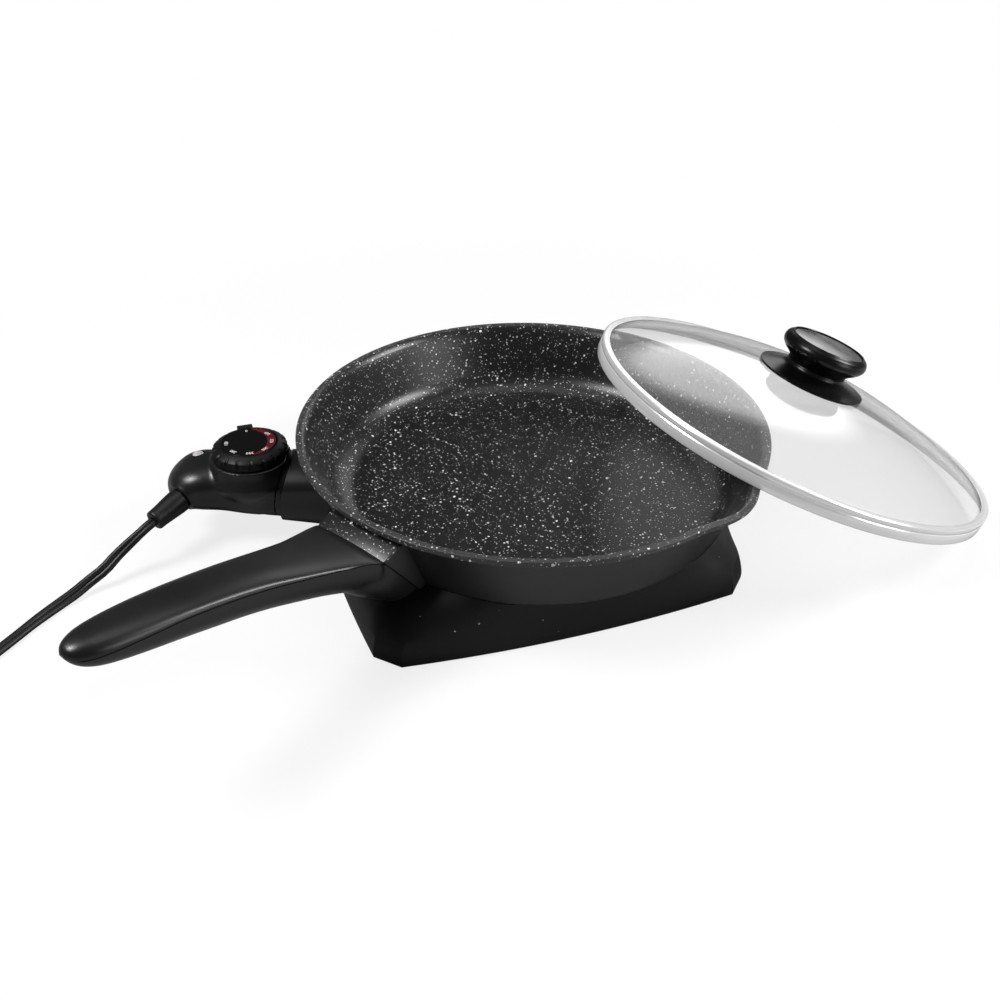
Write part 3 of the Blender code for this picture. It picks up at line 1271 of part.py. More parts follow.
def least_gap(points):
    """The least clearance between stretches of the flat lead that lie beside or over each other."""
    least = COIL_RADIUS
    skip = COIL_POINTS_PER_TURN // 2
    for i, here in enumerate(points):
        for there in points[i + skip:]:
            across = math.hypot(here.x - there.x, here.y - there.y)
            beside = max(across - CORD_WIDTH + CORD_THICKNESS, 0)
            least = min(least, math.hypot(beside, here.z - there.z) - CORD_THICKNESS)
    return least


def cord(control_frame):
    """The free stretch of lead, its coil and the plug on its end."""
    profile = cord_profile()
    level = COUNTER + CORD_THICKNESS / 2 + GAP
    relief_start = Vector(RELIEF_START)
    out = Vector(RELIEF_RUN).normalized()
    exit_local = relief_start + out * (RELIEF_LENGTH + GAP)
    to_world = spun(CONTROL_TURN)
    leave = to_world @ exit_local
    straight = to_world @ (exit_local + out * CORD_STRAIGHT)
    coil = coil_points(level)
    into = Vector((0, -1, 0))
    coil.insert(0, coil[0] - into * CORD_WIDTH)
    start = coil[0]
    route = [leave, straight]
    for (x, y), share in zip(CORD_ROUTE, CORD_FALL_SHARES):
        route.append(Vector((x, y, leave.z + (level - leave.z) * share)))
    route += [start - into * CORD_WIDTH, start - into * GAP]
    lead = smooth_route(route, CORD_STEP)
    flat_lead("cord_lead", lead, profile, control_frame, CORD_TWIST)
    ahead = Vector((0, 1, 0))
    tail = coil[-1] + ahead * COIL_TAIL
    coil.append(tail)
    flat_lead("cord_coil", coil, profile, control_frame)
    length = sum((b - a).length for a, b in zip(lead, lead[1:]))
    wound = sum((b - a).length for a, b in zip(coil, coil[1:]))
    print("lead %.4f m, coil %.4f m, least gap in the coil %.5f m"
          % (length, wound, least_gap(coil)))
    plug(tail + ahead * GAP, control_frame)


def plug(cord_end, frame):
    """The moulded plug with its tapered relief and two flat blades."""
    whole = PLUG_RELIEF_LENGTH + PLUG_LENGTH
    rings = []
    for along, width, height in PLUG_SHARES:
        ring = power_ring(PLUG_HALF_WIDTH * width, PLUG_HALF_HEIGHT * height,
                          PLUG_HALF_HEIGHT * height, 0.0, HOUSING_POWER, PLUG_POINTS,
                          whole * along)
        rings.append([cord_end + spun(math.pi / 2) @ point for point in ring])
    drop = cord_end.z - PLUG_HALF_HEIGHT - COUNTER - GAP
    for ring, (along, _, _) in zip(rings, PLUG_SHARES):
        for point in ring:
            point.z -= drop * min(along / PLUG_SHARES[2][0], 1)
    loft("plug_body", rings, CORD_BLACK, frame)
    face = cord_end + Vector((0, whole + GAP, -drop))
    for number, side in enumerate((1, -1), 1):
        middle = face + Vector((side * BLADE_SPACING / 2, 0, 0))
        reach = Vector((BLADE_THICKNESS / 2, 0, BLADE_WIDTH / 2))
        box("plug_blade_%d" % number, middle - reach,
            middle + reach + Vector((0, BLADE_LENGTH, 0)), BRASS, frame,
            edge=BLADE_THICKNESS / 4)


def dome(radius):
    """Height of the glass's upper side at a radius."""
    return GLASS_EDGE_HEIGHT + DOME_RISE * (1 - (radius / GLASS_EDGE) ** 2)


def dome_under(radius):
    """Height of the glass's lower side at a radius."""
    slope = math.atan(2 * DOME_RISE * radius / GLASS_EDGE ** 2)
    return dome(radius) - GLASS_THICKNESS / math.cos(slope)


def band_shelf():
    """Inner radius and upper side of the band's shelf, which carries the glass."""
    return GLASS_EDGE - BAND_FLANGE / 2, dome_under(GLASS_EDGE) - GAP


def lid(frame):
    """The glass dome, its band and its knob, built upright about the lid's own axis."""
    edge = GLASS_EDGE
    inner = LID_RADIUS - BAND_FLANGE
    bore = LID_SCREW_RADIUS + GAP
    outer_side = []
    under_side = []
    for i in range(GLASS_RINGS + 1):
        radius = bore + (edge - bore) * (i / GLASS_RINGS) ** GLASS_SPREAD
        outer_side.append((radius, dome(radius)))
        under_side.append((radius, dome_under(radius)))
    turned("lid_glass", outer_side + under_side[::-1], GLASS, frame, ring=True, steps=LID_STEPS)
    flange_low = dome(inner) + GAP
    edge_low = dome(edge) + GAP
    shelf_inner, shelf = band_shelf()
    flange_top = flange_low + BAND_SHEET
    profile = [(inner, flange_low), (inner, flange_top), (LID_RADIUS - BAND_SHEET, flange_top),
               (LID_RADIUS, flange_top - BAND_SHEET), (LID_RADIUS, 0),
               (LID_RADIUS - BAND_SHEET, 0), (LID_RADIUS - BAND_SHEET, shelf - BAND_SHEET),
               (shelf_inner, shelf - BAND_SHEET), (shelf_inner, shelf),
               (LID_RADIUS - BAND_SHEET, shelf), (LID_RADIUS - BAND_SHEET, edge_low)]
    turned("lid_band", profile, STEEL, frame, ring=True, steps=LID_STEPS)
    foot = dome(KNOB_FOOT_RADIUS) + GAP
    neck = foot + KNOB_NECK_HEIGHT
    profile = [(bore, neck), (KNOB_NECK_RADIUS, neck)]
    for out, fall in KNOB_FOOT_SHARES:
        profile.append((KNOB_NECK_RADIUS + (KNOB_FOOT_RADIUS - KNOB_NECK_RADIUS) * out,
                        neck - (KNOB_NECK_HEIGHT - KNOB_FOOT_EDGE) * fall))
    profile.append((KNOB_FOOT_RADIUS, foot))
    for radius, height in reversed(outer_side):
        if radius < KNOB_FOOT_RADIUS * 0.95:
            profile.append((radius, height + GAP))
    turned("knob_base", profile, KNOB_BLACK, frame, ring=True, steps=KNOB_STEPS)
    head_foot = neck + GAP
    head_top = head_foot + KNOB_HEAD_HEIGHT
    bite_end = neck + LID_SCREW_BITE
    recess = KNOB_TOP_RADIUS - KNOB_TOP_WALL
    disc_seat = head_top - KNOB_RECESS - CAP_THICKNESS
    profile = [(0, disc_seat), (recess, disc_seat), (recess, head_top),
               (KNOB_TOP_RADIUS, head_top)]
    profile += [(KNOB_HEAD_RADIUS * out, head_top - KNOB_HEAD_HEIGHT * fall)
                for out, fall in KNOB_HEAD_SHARES]
    profile += [(KNOB_NECK_RADIUS, head_foot), (bore, head_foot), (bore, bite_end + GAP),
                (0, bite_end + GAP)]
    turned("knob_grip", profile, KNOB_BLACK, frame, steps=KNOB_STEPS)
    turned("knob_disc", [(0, disc_seat + GAP + CAP_THICKNESS),
                         (recess - GAP, disc_seat + GAP + CAP_THICKNESS),
                         (recess - GAP, disc_seat + GAP), (0, disc_seat + GAP)],
           DISC_GREY, frame, steps=KNOB_STEPS)
    under = dome(0) - GLASS_THICKNESS
    washer_rim = dome(WASHER_RADIUS) - GLASS_THICKNESS - GAP
    washer_top = min(under, washer_rim) - GAP
    turned("lid_washer", [(bore, washer_top), (WASHER_RADIUS, washer_top),
                          (WASHER_RADIUS, washer_top - WASHER_THICKNESS),
                          (bore, washer_top - WASHER_THICKNESS)], STEEL, frame, ring=True)
    seat = washer_top - WASHER_THICKNESS - GAP
    screw("lid_screw", (0, 0, seat - LID_SCREW_HEAD_HEIGHT), (0, 0, bite_end), LID_SCREW_RADIUS,
          LID_SCREW_HEAD, LID_SCREW_HEAD_HEIGHT, STEEL, frame)


def leaning(lean):
    """The lid's place at a lean, with its low edge on the counter."""
    height = COUNTER + GAP + LID_RADIUS * math.sin(lean)
    tilt = spun(LID_LEAN_TURN) @ Matrix.Rotation(lean, 4, "Y") @ spun(-LID_LEAN_TURN)
    return Matrix.Translation(on_circle(LID_REACH, LID_TURN, height)) @ tilt


def rim_clearance(lean):
    """The least height of the lid's band over the pan's rim at a lean."""
    to_lid = leaning(lean).inverted()
    shelf_inner, shelf = band_shelf()
    least = LID_RADIUS
    count = PAN_STEPS * 10
    for radius in (RIM_RADIUS - RIM_EDGE, RIM_RADIUS - RIM_WIDTH):
        for i in range(count):
            turn = 2 * math.pi * i / count
            reach = radius + spout_pull(turn, PAN_DEPTH)
            point = to_lid @ on_circle(reach, turn, PAN_DEPTH)
            inward = LID_RADIUS - math.hypot(point.x, point.y)
            if 0 < inward < LID_RADIUS - shelf_inner:
                low = shelf - BAND_SHEET if inward > BAND_SHEET else 0
                least = min(least, low - point.z)
    return least


def lid_place():
    """Where the lid rests: its low edge on the counter and its band on the pan's rim."""
    low, high = math.radians(2), math.radians(60)
    for _ in range(LEAN_STEPS):
        lean = (low + high) / 2
        if rim_clearance(lean) < GAP:
            low = lean
        else:
            high = lean
    print("lid leans %.2f degrees" % math.degrees(high))
    return leaning(high)


def build():
    handle_frame = empty("handle_place", spun(HANDLE_TURN))
    control_frame = empty("control_place", spun(CONTROL_TURN))
    lid_frame = empty("lid_place", lid_place())
    cord_frame = empty("cord_place", Matrix.Identity(4))
    pan_body(handle_frame, control_frame)
    base_skirt(control_frame, handle_frame)
    base_cover()
    feet()
    base_screws()
    heating_loop(control_frame)
    socket_pieces(control_frame)
    socket_guard(control_frame)
    pan_space = turned("handle_pan_space", [(0, PAN_DEPTH - LIP_HEIGHT)]
                       + pan_outline(GAP, PAN_DEPTH - LIP_HEIGHT), home=CUTTERS, steps=PAN_STEPS)
    handle(handle_frame, pan_space, base_solid("handle_base_space", RUNNING_GAP))
    control_housing(control_frame)
    control_front(control_frame)
    thermostat(control_frame)
    dial(control_frame)
    strain_relief(control_frame)
    cord(cord_frame)
    lid(lid_frame)


build()
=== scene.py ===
"""Looks, lights and camera for the round electric skillet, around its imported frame."""

import json
import math

import bmesh
import bpy
from mathutils import Matrix, Vector


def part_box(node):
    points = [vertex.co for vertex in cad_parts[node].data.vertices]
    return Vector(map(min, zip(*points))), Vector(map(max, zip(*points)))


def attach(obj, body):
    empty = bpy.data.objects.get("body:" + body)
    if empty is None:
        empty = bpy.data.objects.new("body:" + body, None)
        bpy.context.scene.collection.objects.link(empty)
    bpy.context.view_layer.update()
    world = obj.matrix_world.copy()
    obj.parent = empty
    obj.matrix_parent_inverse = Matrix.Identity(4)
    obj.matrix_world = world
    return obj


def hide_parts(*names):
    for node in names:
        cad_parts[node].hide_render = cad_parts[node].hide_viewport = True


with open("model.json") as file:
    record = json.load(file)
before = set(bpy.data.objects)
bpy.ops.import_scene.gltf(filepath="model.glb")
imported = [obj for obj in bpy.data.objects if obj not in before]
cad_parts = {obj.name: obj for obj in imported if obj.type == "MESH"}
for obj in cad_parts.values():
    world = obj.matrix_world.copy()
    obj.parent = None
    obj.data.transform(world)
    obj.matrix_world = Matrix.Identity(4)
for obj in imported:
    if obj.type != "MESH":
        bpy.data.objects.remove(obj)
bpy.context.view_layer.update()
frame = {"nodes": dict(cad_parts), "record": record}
NODES = frame["nodes"]
BODIES = frame["record"]["behaviour"]["bodies"]

# Sizes and places shared with the frame, in metres and degrees
GAP = 0.0003
RUNNING_GAP = 0.0005
OVERRUN = 0.003
COUNTER = -0.0335
RIM_RADIUS = 0.145
RIM_WIDTH = 0.0035
RIM_EDGE = 0.0006
LIP_HEIGHT = 0.0035
LIP_OVERHANG = 0.003
PAN_DEPTH = 0.043
PAN_WALL = 0.0036
UNDERSIDE = -0.004
WALL_LEAN = math.radians(21.2)
FLOOR_FILLET = 0.020
UNDER_FILLET = 0.008
SPOUT_HALF_TURN = math.radians(15)
SPOUT_REACH = 0.0066
SPOUT_START = 0.010
HANDLE_TURN = -90
CONTROL_TURN = 222.5
PAN_STEPS = 240
SHARP = math.radians(34)


def spun(degrees):
    """A turn about the upright axis."""
    return Matrix.Rotation(math.radians(degrees), 4, "Z")


HANDLE_PLACE = spun(HANDLE_TURN)
CONTROL_PLACE = spun(CONTROL_TURN)


def make_camera():
    """The camera at the photograph's viewpoint."""
    ahead = Vector((-0.525858, 0.637428, -0.563168)).normalized()
    right = ahead.cross(Vector((-0.368216, 0.426248, 0.826275))).normalized()
    up = right.cross(ahead)
    data = bpy.data.cameras.new("camera")
    data.lens = 36
    data.sensor_width = 36
    data.clip_start = 0.01
    data.clip_end = 50
    camera = bpy.data.objects.new("camera", data)
    bpy.context.scene.collection.objects.link(camera)
    turn = Matrix((right, up, -ahead)).transposed().to_4x4()
    camera.matrix_world = Matrix.Translation((0.33053, -0.43076, 0.35187)) @ turn
    bpy.context.scene.camera = camera


# Nodes of materials

class Look:
    """A material whose texture nodes are added one by one."""

    def __init__(self, name, colour, roughness, **sockets):
        self.material = bpy.data.materials.new(name)
        self.material.use_nodes = True
        self.tree = self.material.node_tree
        self.shader = self.tree.nodes["Principled BSDF"]
        self.set(self.shader, {"Base Color": (*colour, 1), "Roughness": roughness})
        self.set(self.shader, {key.replace("_", " "): value for key, value in sockets.items()})
        self.place = self.add("ShaderNodeTexCoord").outputs["Object"]

    def set(self, node, values):
        for key, value in values.items():
            if isinstance(value, bpy.types.NodeSocket):
                self.tree.links.new(value, node.inputs[key])
            else:
                node.inputs[key].default_value = value

    def add(self, kind, options=None, inputs=None):
        node = self.tree.nodes.new(kind)
        for key, value in (options or {}).items():
            setattr(node, key, value)
        self.set(node, inputs or {})
        return node

    def math(self, operation, first, second=0.0, third=0.0, clamp=False):
        node = self.add("ShaderNodeMath", {"operation": operation, "use_clamp": clamp},
                        {0: first, 1: second, 2: third})
        return node.outputs[0]

    def scaled(self, scale):
        return self.add("ShaderNodeMapping", None,
                        {"Vector": self.place, "Scale": scale}).outputs[0]

    def axes(self):
        return self.add("ShaderNodeSeparateXYZ", None, {0: self.place}).outputs

    def radius(self):
        """Distance from the piece's own upright axis."""
        x, y, _ = self.axes()
        return self.math("POWER", self.math("ADD", self.math("MULTIPLY", x, x),
                                            self.math("MULTIPLY", y, y)), 0.5)

    def noise(self, size, detail=3.0, vector=None, rough=0.5):
        """Noise with features of the given size in metres, from 0 to 1."""
        return self.add("ShaderNodeTexNoise", None,
                        {"Vector": vector or self.place, "Scale": 1 / size,
                         "Detail": detail, "Roughness": rough}).outputs["Fac"]

    def span(self, value, low, high, new_low=0.0, new_high=1.0, smooth=False):
        kind = "SMOOTHSTEP" if smooth else "LINEAR"
        return self.add("ShaderNodeMapRange", {"interpolation_type": kind, "clamp": True},
                        {"Value": value, "From Min": low, "From Max": high,
                         "To Min": new_low, "To Max": new_high}).outputs[0]

    def blend(self, share, first, second):
        """A colour between two colours."""
        node = self.add("ShaderNodeMix", {"data_type": "RGBA"})
        for socket, value in ((node.inputs[0], share), (node.inputs[6], first),
                              (node.inputs[7], second)):
            if isinstance(value, bpy.types.NodeSocket):
                self.tree.links.new(value, socket)
            else:
                socket.default_value = value if isinstance(value, float) else (*value, 1)
        return node.outputs[2]

    def bump(self, height, depth, strength=1.0):
        node = self.add("ShaderNodeBump", None,
                        {"Height": height, "Distance": depth, "Strength": strength})
        self.set(self.shader, {"Normal": node.outputs[0]})

    def colour(self, value):
        self.set(self.shader, {"Base Color": value})

    def rough(self, value):
        self.set(self.shader, {"Roughness": value})

    def specks(self, cell, least, most, share):
        """A mask of specks of random size, one at most to each cell, and a chance for each."""
        wobble = self.add("ShaderNodeTexNoise", None,
                          {"Vector": self.place, "Scale": 1 / (most * 2), "Detail": 1.0})
        moved = self.add("ShaderNodeVectorMath", {"operation": "MULTIPLY_ADD"},
                         {0: wobble.outputs["Color"], 1: (most,) * 3, 2: self.place})
        cells = self.add("ShaderNodeTexVoronoi", None,
                         {"Vector": moved.outputs[0], "Scale": 1 / cell})
        chance = self.add("ShaderNodeSeparateColor", None, {0: cells.outputs["Color"]})
        pick = self.span(chance.outputs[0], 1 - share, 1)
        some = self.math("GREATER_THAN", chance.outputs[0], 1 - share)
        size = self.math("MULTIPLY_ADD", self.math("POWER", pick, 2.0),
                         (most - least) / cell, least / cell)
        inside = self.math("SUBTRACT", size, cells.outputs["Distance"])
        mask = self.span(inside, 0, 0.15 * most / cell)
        return self.math("MULTIPLY", mask, some), chance.outputs[1]


def plain_plastic(name, colour, roughness, grain=0.00035, depth=0.00002, **sockets):
    """Moulded plastic: an even tone, a fine mould texture and slight wear in its gloss."""
    look = Look(name, colour, roughness, **sockets)
    fine = look.noise(grain, 2.0)
    cloud = look.noise(0.03, 3.0)
    look.rough(look.span(cloud, 0.3, 0.7, roughness * 0.9, roughness * 1.12))
    tone = look.span(cloud, 0.3, 0.7)
    look.colour(look.blend(tone, [c * 0.88 for c in colour], [c * 1.12 for c in colour]))
    look.bump(fine, depth, 0.6)
    return look


def speckled(name, base, roughness, layers, **sockets):
    """Non-stick coating: charcoal with pale specks of several sizes and a fine pebbling."""
    look = Look(name, base, roughness, **sockets)
    cloud = look.noise(0.02, 4.0)
    tone = look.blend(look.span(cloud, 0.3, 0.7), [c * 0.85 for c in base],
                      [c * 1.18 for c in base])
    dust = look.noise(0.0007, 2.0, rough=0.7)
    tone = look.blend(look.span(dust, 0.52, 0.78), tone, [c * 2.2 for c in base])
    for cell, least, most, share, level in layers:
        mask, chance = look.specks(cell, least, most, share)
        pale = look.span(chance, 0, 1, level * 0.4, level)
        grey = look.add("ShaderNodeCombineColor", None, {0: pale, 1: pale, 2: pale}).outputs[0]
        tone = look.blend(mask, tone, grey)
    look.colour(tone)
    look.rough(look.span(cloud, 0.3, 0.7, roughness - 0.03, roughness + 0.04))
    look.bump(look.noise(0.0011, 2.0), 0.00004, 0.6)
    return look


def brushed(name, colour, roughness, grain, depth=0.00001, turned_about=None, metallic=1.0):
    """Metal with fine turned lines round the upright axis, or round the axis of a place."""
    look = Look(name, colour, roughness, Metallic=metallic)
    if turned_about:
        back = turned_about.inverted()
        look.place = look.add("ShaderNodeMapping", None, {
            "Vector": look.place, "Location": back.to_translation(),
            "Rotation": back.to_euler()}).outputs[0]
    height = look.axes()[2]
    turned = look.add("ShaderNodeCombineXYZ", None, {0: look.radius(), 1: height}).outputs[0]
    lines = look.noise(grain, 3.0, vector=turned)
    cloud = look.noise(0.012, 3.0)
    look.colour(look.blend(look.span(lines, 0.3, 0.7), [c * 0.86 for c in colour],
                           [min(c * 1.1, 1) for c in colour]))
    look.rough(look.span(cloud, 0.3, 0.7, roughness * 0.8, roughness * 1.25))
    look.bump(lines, depth, 0.5)
    return look


# Cell, least and greatest radius, share of cells with a speck, and brightness
PAN_SPECKS = (
    (0.0014, 0.00018, 0.00046, 0.62, 0.55), (0.0022, 0.00026, 0.00070, 0.66, 0.88),
    (0.0043, 0.00040, 0.00098, 0.60, 1.00),
)
OUTER_SPECKS = ((0.0085, 0.00025, 0.00055, 0.22, 0.12),)
BASE_SPECKS = ((0.0075, 0.00035, 0.00075, 0.34, 0.45),)


LID_TURN = 54.8
LID_LEAN = 20.1
LID_CENTRE = (0.1028365, 0.14907, 0.014225)


def lid_matrix():
    """The lid's place on the counter and the rim: its centre, and its lean to one side."""
    lean = Matrix.Rotation(math.radians(LID_LEAN), 4, "Y")
    return Matrix.Translation(LID_CENTRE) @ spun(LID_TURN) @ lean @ spun(-LID_TURN)


def make_looks():
    looks = {
        "coating": speckled("coating", (0.0065, 0.0065, 0.0067), 0.31, PAN_SPECKS),
        # The rim band's coating: the same speckled coating with a lighter base, painted sheen on the
        # flat rim
        "coating_rim_painted_sheen": speckled("coating_rim_painted_sheen", (0.030, 0.030, 0.0305), 0.42, PAN_SPECKS),
        "coating_dark": speckled("coating_dark", (0.013, 0.013, 0.0132), 0.38, OUTER_SPECKS,
                                 Specular_IOR_Level=0.4),
        "base_black": speckled("base_black", (0.002, 0.002, 0.002), 0.46, BASE_SPECKS,
                               Specular_IOR_Level=0.3),
        "handle_black": plain_plastic("handle_black", (0.006, 0.006, 0.006), 0.34, depth=0.000008),
        "handle_lower": plain_plastic("handle_lower", (0.008, 0.008, 0.008), 0.34, depth=0.000008),
        "control_black": plain_plastic("control_black", (0.006, 0.006, 0.0062), 0.32, depth=0.00001),
        "knob_black": plain_plastic("knob_black", (0.0025, 0.0025, 0.0025), 0.27, depth=0.000003,
                                    Specular_IOR_Level=0.25),
        "dial_black": plain_plastic("dial_black", (0.003, 0.003, 0.003), 0.42, depth=0.00001,
                                    Specular_IOR_Level=0.2),
        "dial_print": plain_plastic("dial_print", (0.82, 0.82, 0.80), 0.5, grain=0.0002),
        "dial_face_black": plain_plastic("dial_face_black", (0.004, 0.004, 0.004), 0.30,
                                         depth=0.000003, Specular_IOR_Level=0.08),
        "dial_red": plain_plastic("dial_red", (0.10, 0.004, 0.008), 0.28, grain=0.0002),
        "knob_disc_grey": brushed("knob_disc_grey", (0.30, 0.30, 0.305), 0.32, 0.0006,
                                  turned_about=lid_matrix()),
        "steel": brushed("steel", (0.82, 0.82, 0.83), 0.20, 0.0012),
        # The band: a near-white base at under half metal, a painted reflection of the bright
        # surroundings in its diffuse share
        "band_steel": brushed("band_steel", (0.96, 0.96, 0.97), 0.20, 0.0010,
                              turned_about=lid_matrix(), metallic=0.45),
        "zinc_plate": brushed("zinc_plate", (0.55, 0.55, 0.57), 0.35, 0.0006),
        "brass": brushed("brass", (0.65, 0.47, 0.20), 0.3, 0.0004),
        "ceramic": plain_plastic("ceramic", (0.76, 0.74, 0.68), 0.55, grain=0.0006),
        "foot_rubber": plain_plastic("foot_rubber", (0.02, 0.02, 0.02), 0.7, grain=0.0005),
        "cord_black": plain_plastic("cord_black", (0.005, 0.005, 0.005), 0.42, grain=0.0004,
                                    Specular_IOR_Level=0.35),
        "lamp_amber": plain_plastic("lamp_amber", (0.75, 0.22, 0.08), 0.15,
                                    Transmission_Weight=0.5),
        "lens_clear": plain_plastic("lens_clear", (0.72, 0.68, 0.67), 0.12,
                                    Transmission_Weight=0.25, IOR=1.49),
    }
    glass = Look("clear_glass", (0.99, 0.99, 0.99), 0.0, Transmission_Weight=1.0, IOR=1.9)
    smear = glass.noise(0.05, 3.0)
    glass.rough(glass.span(smear, 0.3, 0.7, 0.0, 0.02))
    looks["clear_glass"] = glass
    return {name: look.material for name, look in looks.items()}


make_camera()

# The flat lead: its route, coil and twin-core section

CORD_WIDTH = 0.0073
CORD_THICKNESS = 0.0038
CORD_STEP = 0.0055
CORD_TWIST = math.radians(50)
CORD_TWIST_SHARE = 0.62
CORD_ROUTE = (
    (-0.1509, -0.2072), (-0.1507, -0.2190), (-0.1526, -0.2283), (-0.1524, -0.2390),
    (-0.1518, -0.2514), (-0.1492, -0.2664), (-0.1445, -0.2836), (-0.1382, -0.3080),
)
CORD_FALL_SHARES = (0.45, 0.66, 0.81, 0.915, 0.975, 0.995, 1.0, 1.0)
CORD_STRAIGHT = 0.005
RELIEF_START = Vector((0.2190, 0.0180, -0.0002))
RELIEF_RUN = Vector((0.0134, 0.0178, -0.0043)).normalized()
RELIEF_LENGTH = 0.0225
COIL_CENTRE = (-0.1790, -0.3390)
COIL_RADIUS = 0.045
COIL_PITCH = 0.0080
COIL_LAYER_STEP = 0.0044
COIL_TURNS_EACH_WAY = 1.75
COIL_POINTS_PER_TURN = 24
COIL_TAIL = 0.020


def smooth_route(route, step):
    """Points a step apart on a smooth curve through the route's points."""
    route = [Vector(point) for point in route]
    ends = [2 * route[0] - route[1]] + route + [2 * route[-1] - route[-2]]
    fine = []
    pieces = 24
    for before, start, end, after in zip(ends, ends[1:], ends[2:], ends[3:]):
        for i in range(pieces):
            t = i / pieces
            fine.append(0.5 * (2 * start + (end - before) * t
                               + (2 * before - 5 * start + 4 * end - after) * t ** 2
                               + (3 * start - before - 3 * end + after) * t ** 3))
    fine.append(route[-1])
    length = sum((b - a).length for a, b in zip(fine, fine[1:]))
    count = max(round(length / step), 2)
    points = [fine[0]]
    walked = 0.0
    for a, b in zip(fine, fine[1:]):
        run = (b - a).length
        while len(points) < count and walked + run >= length * len(points) / count:
            points.append(a.lerp(b, (length * len(points) / count - walked) / run))
        walked += run
    return points + [fine[-1]]


def coil_points(level):
    """The coil: in to the middle, up a layer in the half turn there, and out again."""
    centre = Vector((*COIL_CENTRE, level))
    count = round(COIL_TURNS_EACH_WAY * COIL_POINTS_PER_TURN)
    climb = COIL_POINTS_PER_TURN // 2
    points = []
    for i in range(2 * count + 1):
        inward = min(i, 2 * count - i)
        radius = COIL_RADIUS - COIL_PITCH * inward / COIL_POINTS_PER_TURN
        rise = min(max((i - count + climb / 2) / climb, 0), 1)
        turn = -2 * math.pi * i / COIL_POINTS_PER_TURN
        points.append(centre + Vector((radius * math.cos(turn), radius * math.sin(turn),
                                       COIL_LAYER_STEP * rise * rise * (3 - 2 * rise))))
    return points


def cord_path():
    """The whole line of the lead, from the strain relief's end to the plug."""
    level = COUNTER + CORD_THICKNESS / 2 + GAP
    exit_local = RELIEF_START + RELIEF_RUN * (RELIEF_LENGTH + GAP)
    leave = CONTROL_PLACE @ exit_local
    straight = CONTROL_PLACE @ (exit_local + RELIEF_RUN * CORD_STRAIGHT)
    coil = coil_points(level)
    start = coil[0] + Vector((0, CORD_WIDTH, 0))
    route = [leave, straight]
    for (x, y), share in zip(CORD_ROUTE, CORD_FALL_SHARES):
        route.append(Vector((x, y, leave.z + (level - leave.z) * share)))
    route += [start + Vector((0, CORD_WIDTH, 0)), start + Vector((0, GAP, 0))]
    lead = smooth_route(route, CORD_STEP)
    coil.append(coil[-1] + Vector((0, COIL_TAIL, 0)))
    return lead, coil


# Mesh helpers

def piece(name, mesh, look, body=None, node=None, place=None):
    """Links a mesh as a named piece that rides on a body and stands for a node."""
    item = bpy.data.objects.new(name, mesh)
    mesh.name = name
    bpy.context.scene.collection.objects.link(item)
    if place:
        mesh.transform(place)
    for material in look if isinstance(look, list) else [look]:
        mesh.materials.append(material)
    if body:
        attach(item, body)
    if node:
        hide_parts(*([node] if isinstance(node, str) else node))
    return item


def smoothed(mesh, sharp=SHARP):
    mesh.shade_smooth()
    mesh.set_sharp_from_angle(angle=sharp)
    return mesh


def skin(rings, sharp=SHARP):
    """A closed skin over rings of equal point counts, with flat ends."""
    shape = bmesh.new()
    made = [[shape.verts.new(point) for point in ring] for ring in rings]
    count = len(rings[0])
    for first, second in zip(made, made[1:]):
        for i in range(count):
            j = (i + 1) % count
            shape.faces.new((first[i], first[j], second[j], second[i]))
    shape.faces.new(list(reversed(made[0])))
    shape.faces.new(made[-1])
    bmesh.ops.recalc_face_normals(shape, faces=shape.faces)
    mesh = bpy.data.meshes.new("skin")
    shape.to_mesh(mesh)
    shape.free()
    return smoothed(mesh, sharp)


def lathe(profile, steps=96, ring=False, place=None, sharp=SHARP):
    """A profile of (radius, height) points turned about the upright axis."""
    shape = bmesh.new()
    rows = []
    for radius, height in profile:
        turns = range(steps if radius > 0 else 1)
        rows.append([shape.verts.new((radius * math.cos(2 * math.pi * i / steps),
                                      radius * math.sin(2 * math.pi * i / steps), height))
                     for i in turns])
    pairs = list(zip(rows, rows[1:])) + ([(rows[-1], rows[0])] if ring else [])
    for near, far in pairs:
        for i in range(steps):
            j = (i + 1) % steps
            corners = [near[i % len(near)], near[j % len(near)],
                       far[j % len(far)], far[i % len(far)]]
            corners = list(dict.fromkeys(corners))
            if len(corners) > 2:
                shape.faces.new(corners)
    bmesh.ops.recalc_face_normals(shape, faces=shape.faces)
    mesh = bpy.data.meshes.new("lathe")
    shape.to_mesh(mesh)
    shape.free()
    if place:
        mesh.transform(place)
    return smoothed(mesh, sharp)


def rod(start, end, radius, end_radius=None, steps=48):
    """A cylinder or cone between two points."""
    start, end = Vector(start), Vector(end)
    turn = (end - start).to_track_quat("Z", "Y").to_matrix().to_4x4()
    far = radius if end_radius is None else end_radius
    length = (end - start).length
    return lathe([(0, 0), (radius, 0), (far, length), (0, length)], steps,
                 place=Matrix.Translation(start) @ turn)


def block(low, high, edge=0.0, place=None):
    """A box between two corners with rounded edges."""
    low, high = Vector(low), Vector(high)
    shape = bmesh.new()
    bmesh.ops.create_cube(shape, size=1)
    bmesh.ops.scale(shape, vec=high - low, verts=shape.verts)
    bmesh.ops.translate(shape, vec=(low + high) / 2, verts=shape.verts)
    if edge:
        bmesh.ops.bevel(shape, geom=shape.edges, offset=edge, segments=3, profile=0.5,
                        affect="EDGES")
    mesh = bpy.data.meshes.new("block")
    shape.to_mesh(mesh)
    shape.free()
    if place:
        mesh.transform(place)
    return smoothed(mesh)


def rounded(mesh, edge, segments=3):
    """The mesh with all its edges rounded."""
    shape = bmesh.new()
    shape.from_mesh(mesh)
    bmesh.ops.bevel(shape, geom=shape.edges, offset=edge, segments=segments, profile=0.5,
                    affect="EDGES")
    shape.to_mesh(mesh)
    shape.free()
    return mesh


